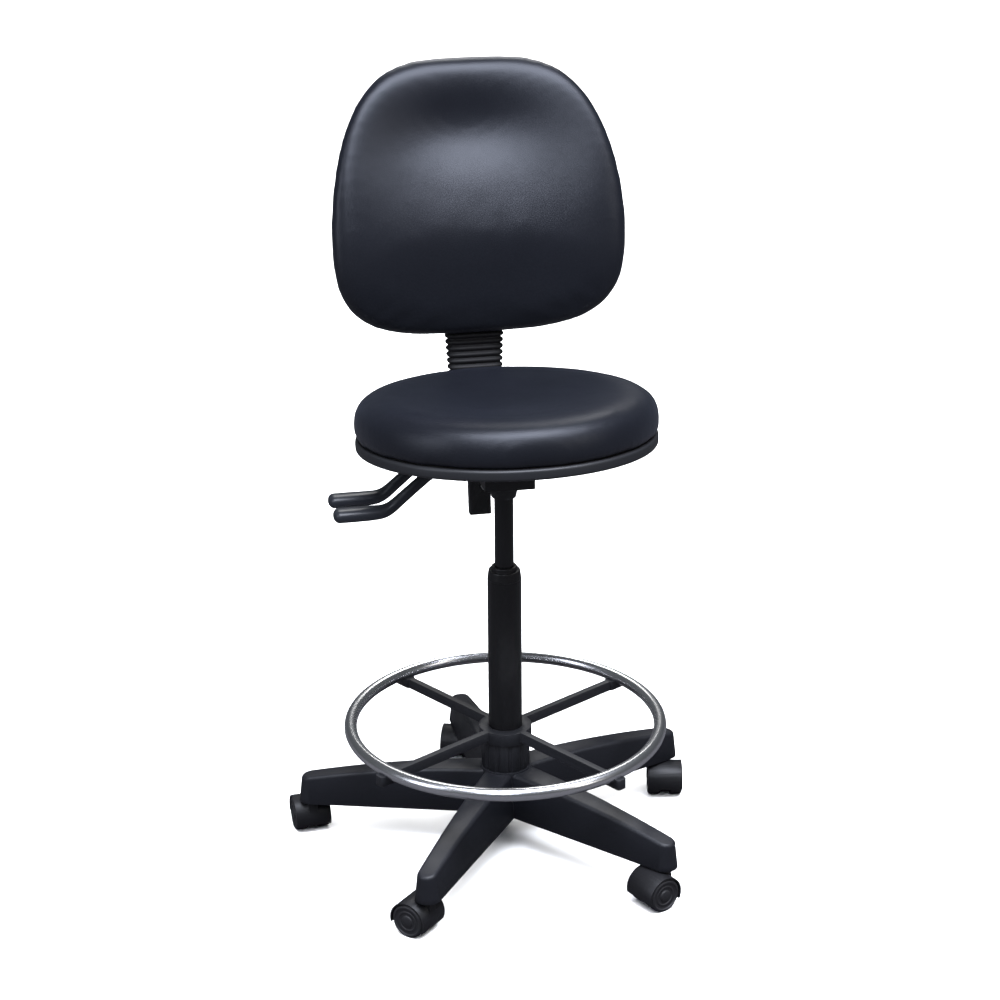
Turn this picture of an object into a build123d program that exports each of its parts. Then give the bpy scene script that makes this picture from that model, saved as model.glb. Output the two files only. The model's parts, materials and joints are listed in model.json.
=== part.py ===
from build123d import *
import math
import os

# Drafting chair.
# Millimetres, +Z up, the sitter faces -Y.
# Origin: the floor point under the column's axis.

# ---------------------------------------------------------------- driving sizes

# running and seating clearances
run_gap = 0.05            # radial, a shaft in its bore
seat_gap = 0.05           # radial, a fixed piece in its hole
soft_gap = 0.3            # a cushion above what carries it
body_gap = 0.4            # faces of bodies that move past each other
face_gap = 0.1            # flat faces that nearly touch
end_gap = 0.5             # the end of a shaft in its blind hole

# five-arm base
arm_count = 5
arm_first_angle = 21.2    # degrees from +X to the first arm
caster_circle_radius = 294.6
arm_bottom_z = 56.0
arm_root_top_z = 123.0
arm_middle_top_z = 112.5
arm_middle_radius = 200.0
arm_tip_top_z = 96.0
arm_root_width = 60.0
arm_tip_width = 38.0
arm_tip_drop = 4.0        # the top's fall past the caster's stem
arm_side_lean = 8.0       # each side leans in by this much over its height
arm_edge_round = 6.0
arm_wall = 4.0
arm_rib_count = 4
base_hub_radius = 38.0
base_hub_bottom_z = 52.0
base_hub_top_z = 125.5

# casters
wheel_radius = 25.0
wheel_width = 19.6
wheel_tread_round = 3.0
wheel_web_gap = 0.6
wheel_rim_width = 5.5
wheel_boss_radius = 8.0
wheel_recess_depth = 2.0
wheel_rib_count = 6
wheel_rib_width = 2.0
caster_web_width = 13.0
caster_web_radius = 21.0
caster_boss_radius = 8.0
caster_web_reach = 12.0   # the web's corners above and behind the axle
caster_trail = 19.0
hood_wall = 2.4
wheel_hood_gap = 1.1
hood_rear_angle = -15.0   # degrees round the axle, where the hood starts behind the wheels
hood_sweep = 220.0
axle_diameter = 8.0
axle_length = 44.0
stem_diameter = 11.0
stem_neck_diameter = 8.0
stem_flange_diameter = 18.0
stem_flange_thickness = 1.4
stem_socket_depth = 34.0
stem_neck_length = 24.0
stem_end_gap = 1.0
caster_turns = (259.0, 250.0, 96.0, 136.0, 205.0)   # degrees, where each caster trails at rest

# column
column_diameter = 50.0
column_bore = 46.0
column_taper_diameter = 48.0
column_bottom_z = 60.0
column_top_z = 425.0
column_floor = 4.0
cap_height = 20.0
cap_top_diameter = 38.0
cap_lip_height = 6.0
cap_lip_round = 2.0
cap_taper = 8.0           # degrees
bush_length = 80.0

# gas lift
cylinder_diameter = 28.0
cylinder_bore = 25.0
cylinder_bottom_z = 205.0
cylinder_taper_z = 549.0
cylinder_top_z = 600.0
cylinder_top_diameter = 26.0
cylinder_end_wall = 10.0
cylinder_bore_top_z = 540.0
rod_diameter = 10.0
rod_foot_diameter = 8.0
rod_foot_stands_out = 5.0
rod_shoulder_diameter = 16.0
rod_shoulder_height = 4.0
piston_length = 10.0
piston_top_gap = 1.0
lift_up_travel = 155.0
bump_stop_diameter = 30.0
bump_stop_height = 20.0
race_outer_diameter = 30.0
race_thickness = 2.0
ball_diameter = 4.0
ball_count = 9
cage_thickness = 1.0
cage_margin = 1.0
clip_diameter = 20.0
clip_thickness = 1.5
clip_groove_depth = 1.0
clip_mouth = 5.0
valve_diameter = 6.0
valve_length = 34.0
valve_stands_out = 4.0
valve_chamfer = 1.0
valve_tab_gap = 0.2

# foot ring
ring_radius = 229.8
ring_tube_diameter = 19.0
ring_tube_wall = 1.5
ring_centre_z = 194.3
spoke_count = 4
spoke_first_angle = 31.5
spoke_width = 11.0
spoke_depth = 15.0
spoke_top_z = 190.0
spoke_draft = 3.0         # degrees
spider_hub_diameter = 78.0
spider_hub_bottom_z = 171.0
saddle_length = 30.0
saddle_width = 16.0
saddle_round = 4.0
collar_diameter = 72.0
collar_flute_count = 12
collar_flute_diameter = 8.0
collar_flute_offset = 2.0
ring_screw_diameter = 5.0
ring_screw_head_diameter = 9.0
ring_screw_head_height = 2.5
ring_screw_reach = 6.0

# seat, measured on its own tilted plane
seat_tilt = 5.6           # degrees, front edge up
seat_forward = 24.0
seat_seam_z = 656.5
seat_radius = 217.5
seat_seam_radius = 213.5
seat_widest_height = 25.0
seat_shoulder_radius = 209.0
seat_shoulder_height = 45.0
seat_rim_height = 58.0
seat_rim_radius = 178.0
seat_rim_bulge = 4.0      # how far the rim's roll stands out of its chord
seat_rim_fall = 3.0
seat_dish_depth = 7.0
board_top = -1.0
board_thickness = 12.0
board_radius = 202.0
trim_height = 16.0
trim_bottom_radius = 206.0
trim_lip = 8.0
trim_hollow = 1.2
trim_gap = 0.3

# mechanism under the seat
housing_width = 72.0
housing_front_y = -48.0
housing_rear_y = 78.0
housing_bottom_z = 576.0
housing_wall = 3.0
housing_round = 2.5
flange_thickness = 3.0
flange_width = 150.0
flange_length = 176.0
flange_round = 12.0
hub_diameter = 44.0
hub_mouth_diameter = 36.0
hub_bottom_z = 552.0
hub_top_z = 596.0
bolt_diameter = 8.0
bolt_head_diameter = 14.0
bolt_head_height = 5.0
bolt_span_x = 116.0
bolt_span_y = 140.0
bolt_bite = 9.0

# the two levers on the chair's right side
height_lever_y = -30.0
back_lever_y = 30.0
lever_pin_x = -24.0
lever_pin_z = 609.0
lever_pin_diameter = 6.0
lever_pin_stands_out = 2.0
lever_boss_diameter = 14.0
lever_boss_length = 12.0
lever_rod_diameter = 8.0
lever_slot_height = 16.0
lever_knee_x = -106.0
lever_heel = (-174.0, 552.5)
lever_end_x = -249.0
lever_sleeve_diameter = 16.0
lever_sleeve_start_x = -46.0
lever_rod_bite = 34.0
lever_bend_radius = 20.0
paddle_width = 28.0
paddle_thickness = 12.0
paddle_length = 78.0
paddle_edge_round = 4.5
lever_tab_thickness = 3.0
lever_tab_width = 10.0

# back support
back_pin_y = 60.0
back_pin_z = 600.0
back_pin_diameter = 12.0
back_pin_stands_out = 3.0
back_arm_width = 40.0
back_arm_thickness = 8.0
back_arm_boss_diameter = 22.0
upright_lean = 7.0        # degrees, top to the rear
upright_y = 217.0         # where the upright's axis passes upright_z
upright_z = 660.0
upright_width = 26.0
upright_depth = 13.0
upright_wall = 2.0
upright_low = -180.0      # along the upright, from upright_z
upright_high = 245.0
upright_slide_gap = 0.3
bracket_width = 33.0
bracket_depth = 20.0
bracket_low = -208.0
bracket_high = -22.0
bracket_floor = 3.0
bracket_round = 2.5
plate_middle = -67.0      # along the upright
plate_height = 50.0
plate_thickness = 6.0
plate_round = 5.0
plate_bolt_step = 16.0
lock_bolt_place = (6.0, -163.0)
bracket_bolt_diameter = 6.0
bracket_bolt_head_diameter = 12.0
bracket_bolt_head_height = 4.0
spring_wire = 2.5
spring_turns = 3
spring_turn_gap = 0.4
spring_pin_gap = 0.5
bellows_width = 82.0
bellows_depth = 34.0
bellows_rib_pitch = 8.7
bellows_rib_count = 10
bellows_wall = 2.5
bellows_fold = 4.0
bellows_rib_round = 12.0
bellows_groove_round = 9.0
bellows_inner_round = 6.0

# back rest: one surface, set off to the front and to the rear
back_half_width = 219.0
back_widest_z = 896.0
back_top_z = 1140.0
back_bottom_z = 734.0
back_plan_radius = 550.0
back_face_y = 215.0       # the surface on the centre line at back_waist_z
back_waist_z = 900.0
back_lean = 6.0           # degrees
back_curve = 12.0         # extra rearward set at back_curve_reach above and below the waist
back_curve_reach = 200.0
back_top_powers = (3.81, 1.86)      # roundness of the outline's upper half, across and up
back_bottom_powers = (2.98, 3.0)
back_outline_steps = 32
back_band_margin = 40.0
back_cushion_front = 44.0
back_board_front = 2.0
back_board_thickness = 10.0
back_board_inset = 16.0
back_pocket_overrun = 1.0
back_shell_gap = 0.5
back_shell_wall = 3.0
back_shell_inset = 9.0
back_hump_width = 104.0
back_hump_height = 210.0
back_hump_rise = 45.0
back_hump_round = 26.0
back_block_width = 74.0
back_block_height = 90.0
back_block_z = 850.0
back_block_round = 6.0
back_screw_diameter = 6.0
back_screw_head_diameter = 11.0
back_screw_head_height = 3.0
back_screw_bite = 6.0
back_screw_span_x = 52.0
back_screw_span_z = 56.0

# ---------------------------------------------------------------- worked-out places

arm_step = 360.0 / arm_count
arm_angles = [arm_first_angle + arm_step * k for k in range(arm_count)]
column_wall = (column_diameter - column_bore) / 2
hood_radius = wheel_radius + wheel_hood_gap + hood_wall
stem_flange_bottom_z = arm_bottom_z - stem_flange_thickness
column_seat_z = column_bottom_z + column_floor
balls_low_z = column_seat_z + race_thickness + run_gap
upper_race_z = balls_low_z + ball_diameter + run_gap
rod_shoulder_z = upper_race_z + race_thickness
bump_stop_z = rod_shoulder_z + rod_shoulder_height
rod_top_z = cylinder_bottom_z + cylinder_end_wall + lift_up_travel + piston_top_gap + piston_length
ball_circle_radius = (race_outer_diameter + rod_foot_diameter) / 4
valve_bottom_z = cylinder_top_z + valve_stands_out - valve_length
valve_top_z = cylinder_top_z + valve_stands_out
lever_tab_z = valve_top_z + valve_tab_gap
housing_length = housing_rear_y - housing_front_y
housing_middle_y = (housing_rear_y + housing_front_y) / 2
bulkhead_y = back_lever_y + lever_boss_length / 2 + housing_wall
spoke_bottom_z = spoke_top_z - spoke_depth

seat_plane = Plane(
    origin=(0, -seat_forward, seat_seam_z),
    x_dir=(1, 0, 0),
    z_dir=(0, math.sin(math.radians(seat_tilt)), math.cos(math.radians(seat_tilt))),
)
upright_plane = Plane(
    origin=(0, upright_y, upright_z),
    x_dir=(1, 0, 0),
    z_dir=(0, math.sin(math.radians(upright_lean)), math.cos(math.radians(upright_lean))),
)
board_bottom = board_top - board_thickness
flange_bottom = board_bottom - flange_thickness
flange_middle = (0, housing_middle_y + seat_forward)
clip_bottom_z = column_bottom_z - face_gap - clip_thickness
wheel_inner_face = caster_web_width / 2 + wheel_web_gap
hood_reach = wheel_inner_face + wheel_width

os.makedirs("parts", exist_ok=True)


def keep(builder, name):
    """Label the finished piece and write its STEP file."""
    builder.part.label = name
    export_step(builder.part, f"parts/{name}.step")


def ring_piece(outer_diameter, inner_diameter, low_z, high_z):
    """A plain ring about the column's axis."""
    with BuildPart() as ring:
        with BuildSketch(Plane.XY.offset(low_z)):
            Circle(outer_diameter / 2)
            Circle(inner_diameter / 2, mode=Mode.SUBTRACT)
        extrude(amount=high_z - low_z)
    return ring


# ---------------------------------------------------------------- base star


def arm_block(shrink):
    """One arm along +X, narrower at its top; shrink moves its sides and top inwards."""
    far_x = caster_circle_radius + arm_tip_width
    with BuildPart() as arm:
        for height, lean in ((arm_bottom_z, 0.0), (arm_root_top_z + arm_wall, arm_side_lean)):
            root = arm_root_width / 2 - shrink - lean
            tip = arm_tip_width / 2 - shrink - lean
            with BuildSketch(Plane.XY.offset(height)):
                with BuildLine():
                    Line((0, root), (caster_circle_radius, tip))
                    ThreePointArc(
                        (caster_circle_radius, tip),
                        (caster_circle_radius + tip, 0),
                        (caster_circle_radius, -tip),
                    )
                    Line((caster_circle_radius, -tip), (0, -root))
                    Line((0, -root), (0, root))
                make_face()
        loft(ruled=True)
        with BuildSketch(Plane.XZ.offset(-arm_root_width)):
            with BuildLine():
                top = ThreePointArc(
                    (0, arm_root_top_z - shrink),
                    (arm_middle_radius, arm_middle_top_z - shrink),
                    (far_x, arm_tip_top_z - arm_tip_drop - shrink),
                )
                Polyline(
                    top @ 1,
                    (far_x, 2 * arm_root_top_z),
                    (0, 2 * arm_root_top_z),
                    top @ 0,
                )
            make_face()
        extrude(amount=2 * arm_root_width, mode=Mode.SUBTRACT)
        if shrink == 0:
            rim = arm.faces().sort_by(Axis.Z)[-1].edges().filter_by(lambda edge: edge.center().X > 1)
            fillet(rim, radius=arm_edge_round)
    return arm


arm_solid = arm_block(0)
arm_core = arm_block(arm_wall)
pocket_start = base_hub_radius + arm_wall
pocket_end = caster_circle_radius - stem_diameter
pocket_pitch = (pocket_end - pocket_start) / arm_rib_count
with BuildPart() as arm_pockets:
    add(arm_core.part)
    with BuildSketch(Plane.XY.offset(arm_bottom_z)):
        for k in range(arm_rib_count):
            middle = pocket_start + pocket_pitch * (k + 0.5)
            with Locations((middle, 0)):
                Rectangle(pocket_pitch - arm_wall, arm_root_width)
    extrude(amount=arm_root_top_z - arm_bottom_z, mode=Mode.INTERSECT)

with BuildPart() as base_star:
    with PolarLocations(0, arm_count, start_angle=arm_first_angle):
        add(arm_solid.part)
    with BuildSketch(Plane.XY.offset(base_hub_bottom_z)):
        Circle(base_hub_radius)
    extrude(amount=base_hub_top_z - base_hub_bottom_z)
    with PolarLocations(0, arm_count, start_angle=arm_first_angle):
        add(arm_pockets.part, mode=Mode.SUBTRACT)
    with BuildSketch(Plane.XY.offset(arm_bottom_z)):
        with PolarLocations(caster_circle_radius, arm_count, start_angle=arm_first_angle):
            Circle(stem_diameter / 2 + seat_gap)
    extrude(amount=stem_socket_depth, mode=Mode.SUBTRACT)
    with BuildSketch(Plane.XZ):
        with BuildLine():
            Polyline(
                (0, base_hub_bottom_z),
                (column_taper_diameter / 2 + seat_gap, base_hub_bottom_z),
                (column_taper_diameter / 2 + seat_gap, column_bottom_z),
                (column_diameter / 2 + seat_gap, base_hub_top_z),
                (0, base_hub_top_z),
                close=True,
            )
        make_face()
    revolve(axis=Axis.Z, mode=Mode.SUBTRACT)
keep(base_star, "base_star")

# ---------------------------------------------------------------- casters

with BuildPart() as caster_stems:
    with BuildSketch(Plane.XY.offset(stem_flange_bottom_z)):
        with PolarLocations(caster_circle_radius, arm_count, start_angle=arm_first_angle):
            Circle(stem_flange_diameter / 2)
    extrude(amount=stem_flange_thickness)
    with BuildSketch(Plane.XY.offset(arm_bottom_z)):
        with PolarLocations(caster_circle_radius, arm_count, start_angle=arm_first_angle):
            Circle(stem_diameter / 2)
    extrude(amount=stem_socket_depth - stem_end_gap)
    with BuildSketch(Plane.XY.offset(stem_flange_bottom_z)):
        with PolarLocations(caster_circle_radius, arm_count, start_angle=arm_first_angle):
            Circle(stem_neck_diameter / 2)
    extrude(amount=-stem_neck_length)
keep(caster_stems, "caster_stems")


def caster_plane(k):
    """Origin under the stem of caster k, +X along its trail, +Z up."""
    angle = math.radians(arm_angles[k])
    turn = math.radians(caster_turns[k])
    return Plane(
        origin=(caster_circle_radius * math.cos(angle), caster_circle_radius * math.sin(angle), 0),
        x_dir=(math.cos(turn), math.sin(turn), 0),
        z_dir=(0, 0, 1),
    )


def axle_plane(k, across):
    """Across the axle of caster k, its normal along the axle, set along it by across."""
    stem = caster_plane(k)
    side = stem.y_dir
    return Plane(
        origin=stem.origin + stem.x_dir * caster_trail + stem.z_dir * wheel_radius + side * across,
        x_dir=stem.x_dir,
        z_dir=side * -1,
    )


def make_hood(k):
    """Web between the wheels, with the stem's boss, and the hood over both wheels."""
    boss_top = stem_flange_bottom_z - face_gap - wheel_radius
    boss_rear = -caster_trail - caster_boss_radius
    with BuildPart() as hood:
        with BuildSketch(axle_plane(k, caster_web_width / 2)):
            Circle(caster_web_radius)
            with BuildLine():
                Polyline(
                    (boss_rear, boss_top),
                    (boss_rear + 2 * caster_boss_radius, boss_top),
                    (0, caster_web_reach),
                    (-caster_web_reach, -caster_web_reach),
                    (boss_rear, 0),
                    close=True,
                )
            make_face()
        extrude(amount=caster_web_width)
        with BuildSketch(axle_plane(k, hood_reach)):
            with BuildLine():
                outer = CenterArc((0, 0), hood_radius, hood_rear_angle, hood_sweep)
                inner = CenterArc((0, 0), hood_radius - hood_wall, hood_rear_angle, hood_sweep)
                Line(outer @ 0, inner @ 0)
                Line(outer @ 1, inner @ 1)
            make_face()
        extrude(amount=2 * hood_reach)
        with BuildSketch(caster_plane(k).offset(stem_flange_bottom_z)):
            Circle(stem_neck_diameter / 2 + run_gap)
        extrude(amount=-stem_neck_length - stem_end_gap, mode=Mode.SUBTRACT)
        with BuildSketch(axle_plane(k, hood_reach)):
            Circle(axle_diameter / 2 + seat_gap)
        extrude(amount=2 * hood_reach, mode=Mode.SUBTRACT)
    return hood


def make_wheel(k, side):
    """Crowned tread, a dished outer face with ribs, and a blind bore for the axle."""
    inner_face = Plane(
        origin=axle_plane(k, side * wheel_inner_face).origin,
        x_dir=caster_plane(k).x_dir,
        z_dir=caster_plane(k).y_dir * side,
    )
    with BuildPart() as wheel:
        with BuildSketch(inner_face):
            Circle(wheel_radius)
        extrude(amount=wheel_width)
        fillet(wheel.edges().filter_by(GeomType.CIRCLE), radius=wheel_tread_round)
        with BuildSketch(inner_face.offset(wheel_width)):
            Circle(wheel_radius - wheel_rim_width)
            Circle(wheel_boss_radius, mode=Mode.SUBTRACT)
            with PolarLocations(0, wheel_rib_count):
                Rectangle(
                    wheel_radius,
                    wheel_rib_width,
                    align=(Align.MIN, Align.CENTER),
                    mode=Mode.SUBTRACT,
                )
        extrude(amount=-wheel_recess_depth, mode=Mode.SUBTRACT)
        with BuildSketch(inner_face):
            Circle(axle_diameter / 2 + run_gap)
        extrude(amount=(axle_length - caster_web_width) / 2 + end_gap, mode=Mode.SUBTRACT)
    return wheel


for k in range(arm_count):
    keep(make_hood(k), f"caster_{k + 1}_hood")
    with BuildPart() as caster_axle:
        with BuildSketch(axle_plane(k, axle_length / 2)):
            Circle(axle_diameter / 2)
        extrude(amount=axle_length)
    keep(caster_axle, f"caster_{k + 1}_axle")
    keep(make_wheel(k, 1), f"caster_{k + 1}_wheel_left")
    keep(make_wheel(k, -1), f"caster_{k + 1}_wheel_right")

# ---------------------------------------------------------------- column

with BuildPart() as column_tube:
    with BuildSketch(Plane.XZ):
        with BuildLine():
            Polyline(
                (rod_foot_diameter / 2 + run_gap, column_bottom_z),
                (column_taper_diameter / 2, column_bottom_z),
                (column_diameter / 2, base_hub_top_z),
                (column_diameter / 2, column_top_z),
                (column_bore / 2, column_top_z),
                (column_bore / 2, base_hub_top_z),
                (column_taper_diameter / 2 - column_wall, column_seat_z),
                (rod_foot_diameter / 2 + run_gap, column_seat_z),
                close=True,
            )
        make_face()
    revolve(axis=Axis.Z)
keep(column_tube, "column_tube")

with BuildPart() as column_cap:
    with BuildSketch(Plane.XY.offset(column_top_z)):
        Circle(column_diameter / 2)
    extrude(amount=cap_height - cap_lip_height, taper=cap_taper)
    with BuildSketch(Plane.XY.offset(column_top_z + cap_height - cap_lip_height)):
        Circle(cap_top_diameter / 2)
    extrude(amount=cap_lip_height)
    top_rim = column_cap.edges().filter_by(GeomType.CIRCLE).sort_by(Axis.Z)[-1]
    fillet(top_rim, radius=cap_lip_round)
    with BuildSketch(Plane.XY.offset(column_top_z)):
        Circle(cylinder_diameter / 2 + body_gap)
    extrude(amount=cap_height, mode=Mode.SUBTRACT)
keep(column_cap, "column_cap")

column_guide_bush = ring_piece(
    column_bore - 2 * seat_gap,
    cylinder_diameter + 2 * run_gap,
    column_top_z - bush_length,
    column_top_z,
)
keep(column_guide_bush, "column_guide_bush")

# ---------------------------------------------------------------- thrust bearing and gas lift

bearing_lower_race = ring_piece(
    race_outer_diameter,
    rod_foot_diameter + 2 * run_gap,
    column_seat_z,
    column_seat_z + race_thickness,
)
keep(bearing_lower_race, "bearing_lower_race")

bearing_upper_race = ring_piece(
    race_outer_diameter,
    rod_foot_diameter + 2 * seat_gap,
    upper_race_z,
    upper_race_z + race_thickness,
)
keep(bearing_upper_race, "bearing_upper_race")

with BuildPart() as bearing_balls:
    with Locations((0, 0, balls_low_z + ball_diameter / 2)):
        with PolarLocations(ball_circle_radius, ball_count):
            Sphere(ball_diameter / 2)
    with BuildSketch(Plane.XY.offset(balls_low_z + (ball_diameter - cage_thickness) / 2)):
        Circle(race_outer_diameter / 2 - cage_margin)
        Circle(rod_foot_diameter / 2 + cage_margin, mode=Mode.SUBTRACT)
        with PolarLocations(ball_circle_radius, ball_count):
            Circle(ball_diameter / 2 + seat_gap, mode=Mode.SUBTRACT)
    extrude(amount=cage_thickness)
keep(bearing_balls, "bearing_balls")

with BuildPart() as piston_rod:
    with BuildSketch(Plane.XY.offset(rod_shoulder_z)):
        Circle(rod_shoulder_diameter / 2)
    extrude(amount=rod_shoulder_height)
    with BuildSketch(Plane.XY.offset(bump_stop_z)):
        Circle(rod_diameter / 2)
    extrude(amount=rod_top_z - piston_length - bump_stop_z)
    with BuildSketch(Plane.XY.offset(rod_top_z - piston_length)):
        Circle(rod_foot_diameter / 2)
    extrude(amount=piston_length)
    with BuildSketch(Plane.XY.offset(column_bottom_z - rod_foot_stands_out)):
        Circle(rod_foot_diameter / 2)
    extrude(amount=rod_shoulder_z - column_bottom_z + rod_foot_stands_out)
    with BuildSketch(Plane.XY.offset(clip_bottom_z)):
        Circle(rod_foot_diameter / 2)
        Circle(rod_foot_diameter / 2 - clip_groove_depth, mode=Mode.SUBTRACT)
    extrude(amount=clip_thickness, mode=Mode.SUBTRACT)
keep(piston_rod, "piston_rod")

with BuildPart() as retaining_clip:
    with BuildSketch(Plane.XY.offset(clip_bottom_z)):
        Circle(clip_diameter / 2)
        Circle(rod_foot_diameter / 2 - clip_groove_depth + seat_gap, mode=Mode.SUBTRACT)
        with Locations((clip_diameter / 2, 0)):
            Rectangle(clip_diameter, clip_mouth, mode=Mode.SUBTRACT)
    extrude(amount=clip_thickness)
keep(retaining_clip, "retaining_clip")

bump_stop = ring_piece(
    bump_stop_diameter, rod_diameter + 2 * seat_gap, bump_stop_z, bump_stop_z + bump_stop_height
)
keep(bump_stop, "bump_stop")

piston = ring_piece(
    cylinder_bore - 2 * run_gap,
    rod_foot_diameter + 2 * seat_gap,
    rod_top_z - piston_length,
    rod_top_z,
)
keep(piston, "piston")

with BuildPart() as gas_cylinder:
    with BuildSketch(Plane.XZ):
        with BuildLine():
            Polyline(
                (rod_diameter / 2 + run_gap, cylinder_bottom_z),
                (cylinder_diameter / 2, cylinder_bottom_z),
                (cylinder_diameter / 2, cylinder_taper_z),
                (cylinder_top_diameter / 2, cylinder_top_z),
                (valve_diameter / 2 + run_gap, cylinder_top_z),
                (valve_diameter / 2 + run_gap, cylinder_bore_top_z),
                (cylinder_bore / 2, cylinder_bore_top_z),
                (cylinder_bore / 2, cylinder_bottom_z + cylinder_end_wall),
                (rod_diameter / 2 + run_gap, cylinder_bottom_z + cylinder_end_wall),
                close=True,
            )
        make_face()
    revolve(axis=Axis.Z)
keep(gas_cylinder, "gas_cylinder")

with BuildPart() as valve_pin:
    with BuildSketch(Plane.XY.offset(valve_bottom_z)):
        Circle(valve_diameter / 2)
    extrude(amount=valve_length)
    chamfer(valve_pin.edges().sort_by(Axis.Z)[-1], length=valve_chamfer)
keep(valve_pin, "valve_pin")

# ---------------------------------------------------------------- foot ring

with BuildPart() as foot_ring:
    with Locations((0, 0, ring_centre_z)):
        Torus(ring_radius, ring_tube_diameter / 2)
        Torus(ring_radius, ring_tube_diameter / 2 - ring_tube_wall, mode=Mode.SUBTRACT)
    with BuildSketch(Plane.XY.offset(spoke_bottom_z)):
        with PolarLocations(ring_radius, spoke_count, start_angle=spoke_first_angle):
            Circle(ring_screw_diameter / 2 + seat_gap)
    extrude(amount=ring_centre_z - spoke_bottom_z, mode=Mode.SUBTRACT)
keep(foot_ring, "foot_ring")

with BuildPart() as foot_ring_spider:
    with BuildSketch(Plane.XY.offset(spoke_bottom_z)):
        with PolarLocations(0, spoke_count, start_angle=spoke_first_angle):
            Rectangle(ring_radius, spoke_width, align=(Align.MIN, Align.CENTER))
    extrude(amount=spoke_depth, taper=spoke_draft)
    with BuildSketch(Plane.XY.offset(spoke_bottom_z)):
        with PolarLocations(ring_radius, spoke_count, start_angle=spoke_first_angle):
            RectangleRounded(saddle_length, saddle_width, saddle_round)
    extrude(amount=spoke_depth)
    with BuildSketch(Plane.XY.offset(spider_hub_bottom_z)):
        Circle(spider_hub_diameter / 2)
    extrude(amount=spoke_top_z - spider_hub_bottom_z)
    with BuildSketch(Plane.XY.offset(spider_hub_bottom_z)):
        Circle(column_diameter / 2 + body_gap)
    extrude(amount=spoke_top_z - spider_hub_bottom_z, mode=Mode.SUBTRACT)
    with Locations((0, 0, ring_centre_z)):
        Torus(ring_radius, ring_tube_diameter / 2 + seat_gap, mode=Mode.SUBTRACT)
    with BuildSketch(Plane.XY.offset(spoke_bottom_z)):
        with PolarLocations(ring_radius, spoke_count, start_angle=spoke_first_angle):
            Circle(ring_screw_diameter / 2 + seat_gap)
    extrude(amount=ring_screw_reach + ring_tube_diameter, mode=Mode.SUBTRACT)
keep(foot_ring_spider, "foot_ring_spider")

with BuildPart() as foot_ring_screws:
    with BuildSketch(Plane.XY.offset(spoke_bottom_z)):
        with PolarLocations(ring_radius, spoke_count, start_angle=spoke_first_angle):
            Circle(ring_screw_diameter / 2)
    extrude(amount=ring_centre_z - ring_tube_diameter / 2 + ring_screw_reach - spoke_bottom_z)
    with BuildSketch(Plane.XY.offset(spoke_bottom_z)):
        with PolarLocations(ring_radius, spoke_count, start_angle=spoke_first_angle):
            Circle(ring_screw_head_diameter / 2)
    extrude(amount=-ring_screw_head_height)
keep(foot_ring_screws, "foot_ring_screws")

with BuildPart() as foot_ring_lock_collar:
    with BuildSketch(Plane.XY.offset(base_hub_top_z + body_gap)):
        Circle(collar_diameter / 2)
        with PolarLocations(collar_diameter / 2 + collar_flute_offset, collar_flute_count):
            Circle(collar_flute_diameter / 2, mode=Mode.SUBTRACT)
        Circle(column_diameter / 2 + body_gap, mode=Mode.SUBTRACT)
    extrude(amount=spider_hub_bottom_z - base_hub_top_z - 2 * body_gap)
keep(foot_ring_lock_collar, "foot_ring_lock_collar")

# ---------------------------------------------------------------- mechanism under the seat


def cylinder_radius(z):
    """Radius of the gas cylinder's tapered head at height z."""
    share = (z - cylinder_taper_z) / (cylinder_top_z - cylinder_taper_z)
    return (cylinder_diameter + share * (cylinder_top_diameter - cylinder_diameter)) / 2


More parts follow.
